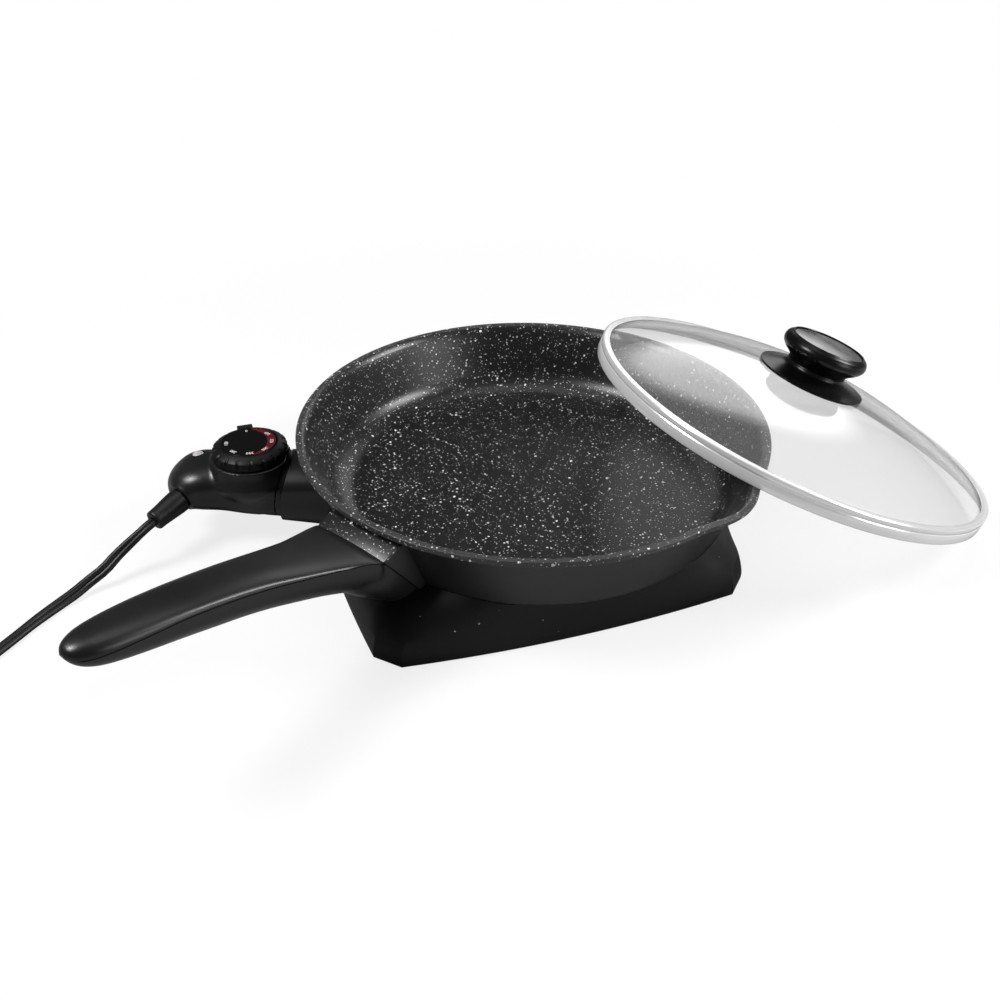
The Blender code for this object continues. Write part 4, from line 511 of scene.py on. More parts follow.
def evaluated(mesh, dress, others=()):
    """The mesh after modifiers that dress adds, with stand-ins for the other meshes."""
    items = []
    for data in (mesh, *others):
        item = bpy.data.objects.new("form", data)
        bpy.context.scene.collection.objects.link(item)
        items.append(item)
    dress(items[0], items[1:])
    bpy.context.view_layer.update()
    graph = bpy.context.evaluated_depsgraph_get()
    result = bpy.data.meshes.new_from_object(items[0].evaluated_get(graph))
    for item in items:
        data = item.data
        bpy.data.objects.remove(item)
        bpy.data.meshes.remove(data)
    return result


def combined(mesh, *steps, sharp=SHARP):
    """The mesh after Boolean steps, each an operation and the meshes that it takes."""
    operations = [operation for operation, meshes in steps for _ in meshes]
    others = [other for _, meshes in steps for other in meshes]

    def dress(item, forms):
        for operation, form in zip(operations, forms):
            step = item.modifiers.new("step", "BOOLEAN")
            step.operation = operation
            step.solver = "EXACT"
            step.object = form

    return smoothed(evaluated(mesh, dress, others), sharp)


def moulded(mesh, grain, rounds):
    """The mesh as one smooth moulding, its inner corners filled and softened."""
    def dress(item, _):
        remesh = item.modifiers.new("remesh", "REMESH")
        remesh.mode = "VOXEL"
        remesh.voxel_size = grain
        soft = item.modifiers.new("soft", "SMOOTH")
        soft.factor = 0.5
        soft.iterations = rounds

    return evaluated(mesh, dress)


def finer(rows, pieces):
    """Rows of shares at finer steps on a smooth curve through them."""
    ends = [rows[0]] + list(rows) + [rows[-1]]
    fine = []
    for before, start, end, after in zip(ends, ends[1:], ends[2:], ends[3:]):
        for i in range(pieces):
            t = i / pieces
            fine.append(tuple(
                0.5 * (2 * s + (e - b) * t + (2 * b - 5 * s + 4 * e - a) * t ** 2
                       + (3 * s - b - 3 * e + a) * t ** 3)
                for b, s, e, a in zip(before, start, end, after)))
    fine.append(tuple(rows[-1]))
    return fine


def power(value, exponent):
    return math.copysign(abs(value) ** exponent, value)


def power_ring(half_width, top, bottom, axis, exponent, along, count=72):
    """A rounded section square to X: flatter than an ellipse where the exponent is over 2."""
    points = []
    for i in range(count):
        turn = 2 * math.pi * i / count
        side, rise = math.cos(turn), math.sin(turn)
        height = (top if rise > 0 else bottom) * power(rise, 2 / exponent)
        points.append(Vector((along, half_width * power(side, 2 / exponent), axis + height)))
    return points


def half_ring(along, half_width, seam, peak, exponent, chamfer=0.0, count=28):
    """One half of a section, from the seam over to the peak and back, chamfered at the seam."""
    way = math.copysign(1, peak - seam)
    points = []
    for i in range(count + 1):
        turn = math.pi * i / count
        rise = max(abs(peak - seam) * math.sin(turn) ** (2 / exponent), chamfer)
        points.append(Vector((along, half_width * power(math.cos(turn), 2 / exponent),
                              seam + way * rise)))
    if chamfer:
        points.insert(0, Vector((along, half_width - chamfer, seam)))
        points.append(Vector((along, chamfer - half_width, seam)))
    return points


def twin_section():
    """The lead's section: two round cores joined by a thin web, as a closed outline."""
    core = CORD_THICKNESS / 2
    offset = CORD_WIDTH / 2 - core
    groove = core * 0.52
    start = math.asin(groove / core)
    outline = []
    for end in (1, -1):
        for i in range(9):
            turn = -(math.pi - start) + 2 * (math.pi - start) * i / 8
            outline.append((end * (offset + core * math.cos(turn)), end * core * math.sin(turn)))
        outline.append((0, end * groove * 0.85))
    return outline


def make_cord(look):
    lead, coil = cord_path()
    points = lead[:-1] + coil
    last = len(lead) * CORD_TWIST_SHARE
    section = twin_section()
    rings = []
    for i, point in enumerate(points):
        along = (points[min(i + 1, len(points) - 1)] - points[max(i - 1, 0)]).normalized()
        side = along.cross(Vector((0, 0, 1))).normalized()
        tilt = CORD_TWIST * math.sin(math.pi * min(i / last, 1)) ** 2
        side = Matrix.Rotation(-tilt, 3, along) @ side
        over = side.cross(along)
        rings.append([point + side * x + over * y for x, y in section])
    cord = piece("flat_lead", skin(rings, 0.9), look, "control",
                 ["cord_lead", "cord_coil"])


# The pan

def outer_radius(height):
    return RIM_RADIUS - LIP_OVERHANG - (PAN_DEPTH - LIP_HEIGHT - height) * math.tan(WALL_LEAN)


def inner_radius(height):
    return outer_radius(height) - PAN_WALL / math.cos(WALL_LEAN)


def foot_fillet(radius_at, floor, fillet, steps=14):
    """Points of the arc from the leaning wall down to the level floor."""
    centre_height = floor + fillet
    centre = radius_at(centre_height) - fillet / math.cos(WALL_LEAN)
    points = []
    for i in range(steps + 1):
        turn = -WALL_LEAN - (math.pi / 2 - WALL_LEAN) * i / steps
        points.append((centre + fillet * math.cos(turn), centre_height + fillet * math.sin(turn)))
    return points


def wall_points(radius_at, top, foot, steps=6):
    """Points down a straight wall, a few on the way for the spout."""
    heights = [top + (foot - top) * i / steps for i in range(steps)]
    return [(radius_at(height), height) for height in heights]


def pan_outline(grow, top):
    """The outer side of the pan below top, moved out by grow, closed at the axis."""
    def side(height):
        return outer_radius(height) + grow / math.cos(WALL_LEAN)
    foot = foot_fillet(side, UNDERSIDE - grow, UNDER_FILLET)
    return [(side(top), top)] + foot + [(0, UNDERSIDE - grow)]


def spout_pull(turn, height):
    """How far the spout draws the wall outward at a turn and a height."""
    rise = min((height - SPOUT_START) / (PAN_DEPTH - SPOUT_START), 1)
    if abs(turn) > SPOUT_HALF_TURN or rise < 0:
        return 0.0
    return SPOUT_REACH * math.cos(turn / SPOUT_HALF_TURN * math.pi / 2) ** 2 * rise ** 2


def pull_spout(mesh):
    for vertex in mesh.vertices:
        radius = math.hypot(vertex.co.x, vertex.co.y)
        if radius > RIM_RADIUS / 2:
            turn = math.atan2(vertex.co.y, vertex.co.x)
            scale = 1 + spout_pull(turn, vertex.co.z) / radius
            vertex.co.x *= scale
            vertex.co.y *= scale
    return mesh


def corner(radius, height, edge, start, steps=4):
    """Points of a quarter turn of rounding about a centre, from a start angle clockwise."""
    return [(radius + edge * math.cos(start - math.pi / 2 * i / steps),
             height + edge * math.sin(start - math.pi / 2 * i / steps))
            for i in range(steps + 1)]


def pan_cavity():
    """The space inside the pan, with the flare up to the rim's inner edge."""
    lip = PAN_DEPTH - LIP_HEIGHT
    throat = RIM_RADIUS - RIM_WIDTH
    profile = [(0, PAN_DEPTH + OVERRUN), (throat + OVERRUN / 5, PAN_DEPTH + OVERRUN),
               (throat + OVERRUN / 5, PAN_DEPTH)]
    flare = throat - inner_radius(lip)
    steps = 10
    for i in range(1, steps):
        share = i / steps
        profile.append((throat - flare * share ** 0.7, PAN_DEPTH - LIP_HEIGHT * share))
    fillet = foot_fillet(inner_radius, 0, FLOOR_FILLET)
    profile += wall_points(inner_radius, lip, fillet[0][1]) + fillet + [(0, 0)]
    return pull_spout(lathe(profile, PAN_STEPS))


LUG_WIDTH = 0.0517
LUG_END = 0.1545
LUG_FOOT = 0.1286
LUG_TOP = PAN_DEPTH - 0.005
LUG_END_TOP = LUG_TOP - 0.004
LUG_HEIGHT = 0.034
LUG_ROUND = 0.0009
PILLAR_CIRCLE = 0.060
PILLAR_FOOT = -0.0303
PILLAR_RADIUS = 0.0052


def lug_solid(grow, place=HANDLE_PLACE):
    """The gusset that carries the handle, its end face leaning in to the pan's foot."""
    half = LUG_WIDTH / 2 + grow
    low = LUG_END_TOP - LUG_HEIGHT
    start = LUG_END - LUG_WIDTH
    lean = (LUG_END - LUG_FOOT) / LUG_HEIGHT
    shift = grow * math.hypot(1, lean)
    above = LUG_TOP + grow * LUG_WIDTH / RUNNING_GAP
    side = [(start, low - grow), (LUG_FOOT + shift - grow * lean, low - grow),
            (LUG_END + shift, LUG_END_TOP),
            (LUG_END + shift, above) if grow else (RIM_RADIUS, LUG_TOP), (start, above)]
    mesh = skin([[Vector((x, y, z)) for x, z in side] for y in (-half, half)])
    if not grow:
        mesh = rounded(mesh, LUG_ROUND)
    mesh.transform(place)
    return mesh


def make_pan():
    """The cast pan: its wall and rolled lip, spout, handle lug and the pillars under it."""
    lip = PAN_DEPTH - LIP_HEIGHT
    edge = RIM_EDGE
    profile = [(0, PAN_DEPTH)]
    profile += corner(RIM_RADIUS - edge, PAN_DEPTH - edge, edge, math.pi / 2)
    profile += corner(RIM_RADIUS - edge, lip + edge, edge, 0)
    fillet = foot_fillet(outer_radius, UNDERSIDE, UNDER_FILLET)
    profile += wall_points(outer_radius, lip, fillet[0][1]) + fillet + [(0, UNDERSIDE)]
    pan = pull_spout(lathe(profile, PAN_STEPS))
    pillars = []
    for i in range(4):
        place = spun(CONTROL_TURN + 45 + 90 * i) @ Vector((PILLAR_CIRCLE, 0, 0))
        pillars.append(rod(place + Vector((0, 0, UNDERSIDE / 2)),
                           place + Vector((0, 0, PILLAR_FOOT)), PILLAR_RADIUS))
    mesh = combined(pan, ("UNION", [lug_solid(0.0)] + pillars), ("DIFFERENCE", [pan_cavity()]))
    throat = RIM_RADIUS - RIM_WIDTH
    for face in mesh.polygons:
        place = face.center
        reach = math.hypot(place.x, place.y) - spout_pull(math.atan2(place.y, place.x), place.z)
        middle = (outer_radius(place.z) + inner_radius(place.z)) / 2
        inside = place.z > UNDERSIDE / 4 and (reach < middle or face.normal.z > 0.5)
        face.material_index = 0 if inside or place.z > lip else 1
        # The flat rim band takes the lighter copy of the coating, painted sheen
        if place.z > lip - RIM_EDGE and throat < reach < RIM_RADIUS:
            face.material_index = 2
    piece("pan_coated", mesh, [LOOKS["coating"], LOOKS["coating_dark"], LOOKS["coating_rim_painted_sheen"]],
          "skillet", "pan_body")


# The base

BASE_HALF = 0.115
BASE_BOW = 0.006
BASE_CLIP = 0.0182
BASE_TURN = 58.5
BASE_SHIFT = 0.0125
BASE_WALL = 0.003
BASE_BOTTOM = COUNTER + 0.001
BASE_TOP = 0.003
BASE_ROOF = 0.0035
BASE_MOUTH = 0.1065
BASE_FOOT_CIRCLE = 0.1255
BASE_SIDE_STEPS = 18
# Height share from the lower edge to the top, width share there, and how much the corners keep
# of their reach past the pan's foot
BASE_SHARES = (
    (0.000, 1.000, 1.00), (0.120, 1.000, 1.00), (0.310, 0.992, 0.98), (0.510, 0.984, 0.89),
    (0.670, 0.977, 0.74), (0.835, 0.972, 0.47), (1.000, 0.965, 0.05),
)


def base_outline(width_share, keep_share, height, grow=0.0):
    """A square with bowed sides and clipped corners, drawn in toward the pan's foot."""
    half = BASE_HALF * width_share
    bow = BASE_BOW * width_share
    chord = half - BASE_CLIP * width_share / math.sqrt(2)
    bow_radius = (chord ** 2 + bow ** 2) / (2 * bow)
    sweep = math.asin(chord / bow_radius)
    place = Matrix.Translation(CONTROL_PLACE @ Vector((BASE_SHIFT, 0, 0))) @ spun(BASE_TURN)
    points = []
    for side in range(4):
        for i in range(BASE_SIDE_STEPS + 1):
            turn = sweep * (2 * i / BASE_SIDE_STEPS - 1)
            x = bow_radius * math.sin(turn)
            y = bow_radius * (1 - math.cos(turn)) - half - bow
            point = place @ spun(side * 90) @ Vector((x, y, 0))
            reach = point.length
            past = max(reach - BASE_FOOT_CIRCLE, 0)
            point *= (reach - past * (1 - keep_share) + grow) / reach
            point.z = height
            points.append(point)
    return points


def base_height(share):
    return BASE_BOTTOM + (BASE_TOP - BASE_BOTTOM) * share


def base_solid(grow):
    return skin([base_outline(width, keep, base_height(share), grow)
                 for share, width, keep in finer(BASE_SHARES, 3)])


def make_skirt():
    """The hollow skirt: outer form less the inner one, the pan and the socket's opening."""
    inner = [base_outline(*BASE_SHARES[0][1:], BASE_BOTTOM - OVERRUN, -BASE_WALL)]
    inner += [base_outline(width, keep, base_height(share), -BASE_WALL)
              for share, width, keep in BASE_SHARES[:-2]]
    share, width, keep = BASE_SHARES[-2]
    inner.append(base_outline(width, keep, base_height(share) - BASE_ROOF, -BASE_WALL))
    pan_space = lathe([(0, PAN_DEPTH)] + pan_outline(GAP, PAN_DEPTH), PAN_STEPS)
    mouth = rod((0, 0, BASE_BOTTOM), (0, 0, PAN_DEPTH), BASE_MOUTH, steps=PAN_STEPS)
    opening = guard_form(GAP, BASE_MOUTH - OVERRUN, MOUTH_END)
    mesh = combined(base_solid(0.0),
                    ("DIFFERENCE", [skin(inner), pan_space, mouth, opening, lug_solid(GAP)]))
    piece("skirt_moulded", mesh, LOOKS["base_black"], "skillet", "base_skirt")


# The guard round the socket

GUARD_START = 0.1185
GUARD_HALF_WIDTH = 0.0235
GUARD_TOP = 0.0170
GUARD_BOTTOM = -0.0298
GUARD_BOTTOM_RISE = 0.0072
GUARD_WALL = 0.0030
GUARD_POWER = 2.6
MOUTH_END = 0.1583
MOUTH_RADIUS = 0.068
MOUTH_HEIGHT = -0.013
MOUTH_STEPS = 240
HOUSING_AXIS = 0.001


def guard_form(grow, start, end):
    """The guard's outer form between two places along the control, moved out by grow."""
    rings = []
    for along in (start, end):
        share = (along - GUARD_START) / (MOUTH_END - GUARD_START)
        bottom = GUARD_BOTTOM + GUARD_BOTTOM_RISE * share
        rings.append([CONTROL_PLACE @ point for point in power_ring(
            GUARD_HALF_WIDTH + grow, GUARD_TOP + grow - HOUSING_AXIS,
            HOUSING_AXIS - bottom + grow, HOUSING_AXIS, GUARD_POWER, along)])
    return skin(rings)


def mouth_form(grow, place=CONTROL_PLACE):
    """The round whose side is the guard's mouth, moved out by grow toward the control."""
    centre = MOUTH_END - MOUTH_RADIUS
    mesh = rod((centre, -MOUTH_RADIUS, MOUTH_HEIGHT), (centre, MOUTH_RADIUS, MOUTH_HEIGHT),
               MOUTH_RADIUS + grow, steps=MOUTH_STEPS)
    mesh.transform(place)
    return mesh


def make_guard():
    bore = guard_form(-GUARD_WALL, GUARD_START - OVERRUN, MOUTH_END + OVERRUN * 2)
    pan_space = lathe([(0, PAN_DEPTH)] + pan_outline(GAP, PAN_DEPTH), PAN_STEPS)
    mesh = combined(guard_form(0.0, GUARD_START, MOUTH_END + OVERRUN),
                    ("DIFFERENCE", [bore, pan_space]), ("INTERSECT", [mouth_form(0.0)]))
    piece("guard_moulded", mesh, LOOKS["control_black"], "skillet", "socket_guard")


# The handle

HANDLE_LENGTH = 0.157
HANDLE_RISE = 0.0362
HANDLE_DEPTH = 0.0262
GRIP_POWER = 2.3
SEAM_CHAMFER = 0.00035
BOSS_START = 0.1255
BOSS_END = 0.172
BOSS_LOW = -0.0195
BOSS_RISE = 0.036
BOSS_POWER = 3.6
BOSS_TOP_DROP = 0.0012
HANDLE_ROUNDS = 60
HANDLE_SCREW_ALONG = 0.1455
HANDLE_SCREW_HEAD = 0.0038
HANDLE_SCREW_SEAT = 0.004
# Along the boss from under the pan out to the grip, half width as a share of half the lug's
# width, and bottom as a share of the boss's rise
BOSS_SHARES = (
    (0.00, 0.96, 0.00), (0.20, 0.98, 0.19), (0.42, 0.98, 0.40), (0.62, 0.93, 0.61),
    (0.80, 0.80, 0.78), (1.00, 0.58, 1.00),
)
# Along the handle, half width, crown, seam and belly.  The first is a share of the length, the
# second of half the lug's width, the next two of the rise and the last of the depth under it.
HANDLE_SHARES = (
    (0.000, 1.000, 0.045, -0.010, 1.000),
    (0.045, 0.920, 0.125, 0.065, 0.900),
    (0.095, 0.855, 0.190, 0.118, 0.770),
    (0.190, 0.740, 0.310, 0.212, 0.530),
    (0.290, 0.672, 0.450, 0.330, 0.310),
    (0.385, 0.620, 0.580, 0.445, 0.110),
    (0.480, 0.585, 0.690, 0.550, -0.060),
    (0.580, 0.560, 0.785, 0.645, -0.210),
    (0.675, 0.540, 0.865, 0.718, -0.360),
    (0.770, 0.525, 0.930, 0.765, -0.510),
    (0.860, 0.485, 0.980, 0.795, -0.655),
    (0.925, 0.420, 1.000, 0.810, -0.780),
    (0.965, 0.325, 0.985, 0.820, -0.900),
    (0.988, 0.215, 0.950, 0.830, -1.020),
    (1.000, 0.090, 0.890, 0.840, -1.130),
)


def handle_stations():
    """Sizes of the handle at fine steps along its length."""
    for along, width, crown, seam, belly in finer(HANDLE_SHARES, 5):
        yield (LUG_END + GAP + HANDLE_LENGTH * along, LUG_WIDTH / 2 * width,
               LUG_END_TOP + HANDLE_RISE * crown, LUG_END_TOP + HANDLE_RISE * seam,
               LUG_END_TOP - HANDLE_DEPTH * belly)


def make_handle():
    """The upper grip, and the lower shell whose boss reaches in under the lug."""
    upper = [half_ring(along, width, seam + GAP / 2, crown + GAP, GRIP_POWER, SEAM_CHAMFER)
             for along, width, crown, seam, belly in handle_stations()]
    piece("grip_moulded", skin(upper), LOOKS["handle_black"], "skillet", "handle_grip",
          HANDLE_PLACE)
    lower = []
    above = []
    for along, width, crown, seam, belly in handle_stations():
        ring = half_ring(along, width, seam - GAP / 2, belly, GRIP_POWER)
        lower.append([Vector((along, width, seam + MOULD_LIFT)), *ring,
                      Vector((along, -width, seam + MOULD_LIFT))])
        side = width + MOULD_LIFT
        above.append([Vector((along, side, seam - GAP / 2)),
                      Vector((along, side, crown + HANDLE_RISE)),
                      Vector((along, -side, crown + HANDLE_RISE)),
                      Vector((along, -side, seam - GAP / 2))])
    for ring, shift in ((above[0], -MOULD_LIFT), (above[-1], MOULD_LIFT)):
        for point in ring:
            point.x += shift
    boss_top = LUG_END_TOP - BOSS_TOP_DROP
    boss = skin([half_ring(BOSS_START + (BOSS_END - BOSS_START) * along, LUG_WIDTH / 2 * width,
                           boss_top, BOSS_LOW + BOSS_RISE * rise, BOSS_POWER)
                 for along, width, rise in finer(BOSS_SHARES, 4)])
    to_local = HANDLE_PLACE.inverted()
    lip = PAN_DEPTH - LIP_HEIGHT
    pan_space = lathe([(0, lip)] + pan_outline(GAP, lip), PAN_STEPS, place=to_local)
    skirt_space = base_solid(RUNNING_GAP)
    skirt_space.transform(to_local)
    hole = rod((HANDLE_SCREW_ALONG, 0, BOSS_LOW), (HANDLE_SCREW_ALONG, 0, HANDLE_SCREW_SEAT),
               HANDLE_SCREW_HEAD + GAP)
    whole = moulded(combined(skin(lower), ("UNION", [boss])), MOULD_GRAIN, HANDLE_ROUNDS)
    mesh = combined(whole, ("DIFFERENCE", [hole, skin(above), lug_solid(GAP, Matrix.Identity(4)),
                                           skirt_space, pan_space]))
    piece("underside_moulded", mesh, LOOKS["handle_lower"], "skillet", "handle_underside",
          HANDLE_PLACE)


# The heat control

HOUSING_START = 0.148
HOUSING_LENGTH = 0.082
HOUSING_END = HOUSING_START + HOUSING_LENGTH
HOUSING_HALF_WIDTH = 0.0232
HOUSING_TOP = 0.0160
HOUSING_BOTTOM = 0.0192
HOUSING_POWER = 2.7
FRONT_PLATE = 0.0028
# Along the housing, half width, top and bottom, each a share of its own size above
HOUSING_SHARES = (
    (0.000, 0.900, 0.990, 1.160),
    (0.130, 0.920, 0.990, 1.110),
    (0.229, 0.940, 1.000, 1.030),
    (0.338, 0.985, 1.000, 0.950),
    (0.445, 0.970, 1.000, 0.870),
    (0.543, 0.930, 0.990, 0.790),
    (0.628, 0.940, 1.040, 0.730),
    (0.707, 0.980, 1.070, 0.680),
    (0.787, 0.975, 1.020, 0.620),
    (0.866, 0.880, 0.890, 0.540),
    (0.933, 0.680, 0.660, 0.430),
    (0.976, 0.450, 0.450, 0.310),
    (1.000, 0.200, 0.220, 0.170),
)
DIAL_CENTRE = 0.176
PEDESTAL_RADIUS = 0.0245
PEDESTAL_FOOT_RADIUS = 0.0288
PEDESTAL_TOP = 0.0208
PEDESTAL_WAIST = 0.009
PEDESTAL_BOTTOM = -0.008
PEDESTAL_TUCK = 0.87
# Down the pedestal to its waist, radius and fall, each a share of its own size above
PEDESTAL_SHARES = (
    (0.00, 0.00), (0.05, 0.17), (0.15, 0.33), (0.31, 0.50), (0.50, 0.67), (0.73, 0.83),
    (1.00, 1.00), (0.80, 1.34),
)
POINTER_REACH = 0.0295
POINTER_INSET = 0.0232
POINTER_WIDTH = 0.010
POINTER_TURN = -74
POINTER_RISE = 0.0052
NECK_BACK = 0.021
NECK_RADIUS = 0.0125
RELIEF_START_RADIUS = 0.0083
RELIEF_END_RADIUS = 0.0064
RELIEF_ROUND = 0.0014
MOULD_GRAIN = 0.0007
MOULD_ROUNDS = 90
FINE_GRAIN = 0.0006
FINE_ROUNDS = 3
MOULD_LIFT = 0.003
SEAM_GAP = 0.00002
SHAFT_HOLE = 0.0035
LENS_PLACE = Vector((0.211, -0.0084, 0))
LENS_RADIUS = 0.0037
CONTROL_SCREW_PLACES = (Vector((0.170, 0.015, 0)), Vector((0.170, -0.015, 0)),
                        Vector((0.216, 0, 0)))
CONTROL_SCREW_HOLE = 0.0027
CONTROL_SCREW_SEAT = -0.0087


def housing_solid():
    """The control's whole outer form: body, dial pedestal and cord neck as one moulding."""
    rings = [power_ring(HOUSING_HALF_WIDTH * width, HOUSING_TOP * top, HOUSING_BOTTOM * bottom,
                        HOUSING_AXIS, HOUSING_POWER, HOUSING_START + HOUSING_LENGTH * along)
             for along, width, top, bottom in finer(HOUSING_SHARES, 4)]
    raised = [(0, PEDESTAL_TOP + MOULD_LIFT), (PEDESTAL_RADIUS, PEDESTAL_TOP + MOULD_LIFT)]
    for out, fall in finer(PEDESTAL_SHARES, 3):
        raised.append((PEDESTAL_RADIUS + (PEDESTAL_FOOT_RADIUS - PEDESTAL_RADIUS) * out,
                       PEDESTAL_TOP - (PEDESTAL_TOP - PEDESTAL_WAIST) * fall))
    raised += [(PEDESTAL_FOOT_RADIUS * PEDESTAL_TUCK, HOUSING_AXIS),
               (PEDESTAL_RADIUS * PEDESTAL_TUCK, PEDESTAL_BOTTOM), (0, PEDESTAL_BOTTOM)]
    pedestal = lathe(raised, 144, place=Matrix.Translation((DIAL_CENTRE, 0, 0)))
    neck = rod(RELIEF_START - RELIEF_RUN * NECK_BACK, RELIEF_START + RELIEF_RUN * OVERRUN,
               NECK_RADIUS, RELIEF_START_RADIUS)
    whole = combined(skin(rings), ("UNION", [pedestal, neck]))
    return moulded(whole, MOULD_GRAIN, MOULD_ROUNDS)


def half_space(top_side):
    """A block above or below the plane where the two housing shells meet."""
    low = HOUSING_AXIS + SEAM_GAP if top_side else -HOUSING_END
    high = HOUSING_END if top_side else HOUSING_AXIS - SEAM_GAP
    return block((0, -HOUSING_END, low), (HOUSING_END * 2, HOUSING_END, high))


NOSE_START = 0.1408
NOSE_END = 0.1592
NOSE_HALF_WIDTH = 0.0168
NOSE_TOP = 0.0035
NOSE_BOTTOM = -0.0121
SLEEVE_END = 0.1645
SLEEVE_HOLE = 0.0036
PROBE_HOLE = 0.0033
# Side and height of each hole in the nose, and its radius
NOSE_HOLES = ((0.0115, -0.0075, SLEEVE_HOLE), (-0.0115, -0.0075, SLEEVE_HOLE),
              (0, -0.0082, PROBE_HOLE))


def make_front(form):
    """The front plate, its outside flush with the shells, and the nose with its three holes."""
    level = Matrix.Identity(4)
    nose = block((NOSE_START, -NOSE_HALF_WIDTH, NOSE_BOTTOM),
                 (NOSE_END, NOSE_HALF_WIDTH, NOSE_TOP), RIM_EDGE)
    holes = [rod((NOSE_START - OVERRUN, side, height), (SLEEVE_END, side, height), radius)
             for side, height, radius in NOSE_HOLES]
    mesh = combined(form.copy(), ("INTERSECT", [mouth_form(FRONT_PLATE + GAP, level)]),
                    ("DIFFERENCE", [mouth_form(GAP, level)]), ("UNION", [nose]),
                    ("DIFFERENCE", holes))
    piece("front_moulded", mesh, LOOKS["control_black"], "control", "control_front",
          CONTROL_PLACE)


def make_housing():
    """The upper and lower shells, parted at the level of the housing's axis."""
    up = Vector((0, 0, 1))
    trim = [mouth_form(FRONT_PLATE + GAP * 2, Matrix.Identity(4)),
            rod((DIAL_CENTRE, 0, PEDESTAL_TOP), (DIAL_CENTRE, 0, PEDESTAL_TOP * 2),
                PEDESTAL_FOOT_RADIUS * 1.1, steps=144),
            rod(RELIEF_START - RELIEF_RUN * GAP, RELIEF_START + RELIEF_RUN * RELIEF_LENGTH,
                NECK_RADIUS)]
    pointer = block((POINTER_INSET + RUNNING_GAP, -POINTER_WIDTH / 2, HOUSING_AXIS),
                    (POINTER_REACH, POINTER_WIDTH / 2, PEDESTAL_TOP + POINTER_RISE),
                    RUNNING_GAP, Matrix.Translation((DIAL_CENTRE, 0, 0)) @ spun(POINTER_TURN))
    form = housing_solid()
    make_front(form)
    whole = combined(form, ("DIFFERENCE", trim), ("UNION", [pointer]))
    whole = moulded(whole, FINE_GRAIN, FINE_ROUNDS)
    for top_side in (True, False):
        if top_side:
            holes = [rod((DIAL_CENTRE, 0, 0), (DIAL_CENTRE, 0, PEDESTAL_TOP * 2), SHAFT_HOLE),
                     rod(LENS_PLACE, LENS_PLACE + up * PEDESTAL_TOP * 2, LENS_RADIUS + GAP)]
        else:
            holes = [rod(place - up * PEDESTAL_TOP * 2, place + up * CONTROL_SCREW_SEAT,
                         CONTROL_SCREW_HOLE) for place in CONTROL_SCREW_PLACES]
        mesh = combined(whole.copy(), ("DIFFERENCE", holes), ("INTERSECT", [half_space(top_side)]))
        name = "top" if top_side else "bottom"
        piece("control_%s_moulded" % name, mesh, LOOKS["control_black"], "control",
              "control_%s_shell" % name, CONTROL_PLACE)
    bpy.data.meshes.remove(whole)


def make_relief():
    """The smooth taper that the lead leaves by, parted from the neck by a dark notch."""
    collar = RELIEF_START_RADIUS - GAP * 2
    length = RELIEF_LENGTH
    profile = [(0, 0), (collar - RELIEF_ROUND * 0.8, 0), (collar - RELIEF_ROUND * 0.8, 0.0007),
               (collar, 0.0011)]
    steps = 12
    for i in range(1, steps + 1):
        share = i / steps
        ease = share * share * (3 - 2 * share)
        profile.append((collar + (RELIEF_END_RADIUS - collar) * ease,
                        0.0011 + (length - RELIEF_ROUND - 0.0011) * share))
    profile += corner(RELIEF_END_RADIUS - RELIEF_ROUND, length - RELIEF_ROUND, RELIEF_ROUND,
                      0)[::-1][:0]
    for i in range(1, 6):
        turn = math.pi / 2 * i / 5
        profile.append((RELIEF_END_RADIUS - RELIEF_ROUND * (1 - math.cos(turn)),
                        length - RELIEF_ROUND * (1 - math.sin(turn))))
    profile.append((0, length))
    turn = RELIEF_RUN.to_track_quat("Z", "Y").to_matrix().to_4x4()
    piece("relief_moulded", lathe(profile, 64), LOOKS["cord_black"], "control",
          "strain_relief",
          CONTROL_PLACE @ Matrix.Translation(RELIEF_START) @ turn)


# The dial

DIAL_RADIUS = 0.023
DIAL_FACE_RADIUS = 0.017
DIAL_START = PEDESTAL_TOP + RUNNING_GAP
DIAL_HEIGHT = 0.0084
DIAL_TOP = DIAL_START + DIAL_HEIGHT
DIAL_CHAMFER = 0.0033
DIAL_NOTCHES = 18
DIAL_NOTCH_STEPS = 16
DIAL_NOTCH_DEPTH = 0.0009
DIAL_NOTCH_SHARE = 0.26
FACE_THICKNESS = 0.0008
PRINT_THICKNESS = 0.00004
NUMBER_SIZE = 0.0031
NUMBER_RADIUS = 0.0138
# What each printed number says, and how far the dial turns to bring it to the pointer
DIAL_NUMBERS = (("0", 0), ("150", 82), ("200", 130), ("250", 175), ("300", 216),
                ("350", 258), ("400", 300))
RED_START, RED_END = 180, 350
RED_OUTER, RED_INNER = 0.0163, 0.0112
DIAL_PLACE = CONTROL_PLACE @ Matrix.Translation((DIAL_CENTRE, 0, 0))


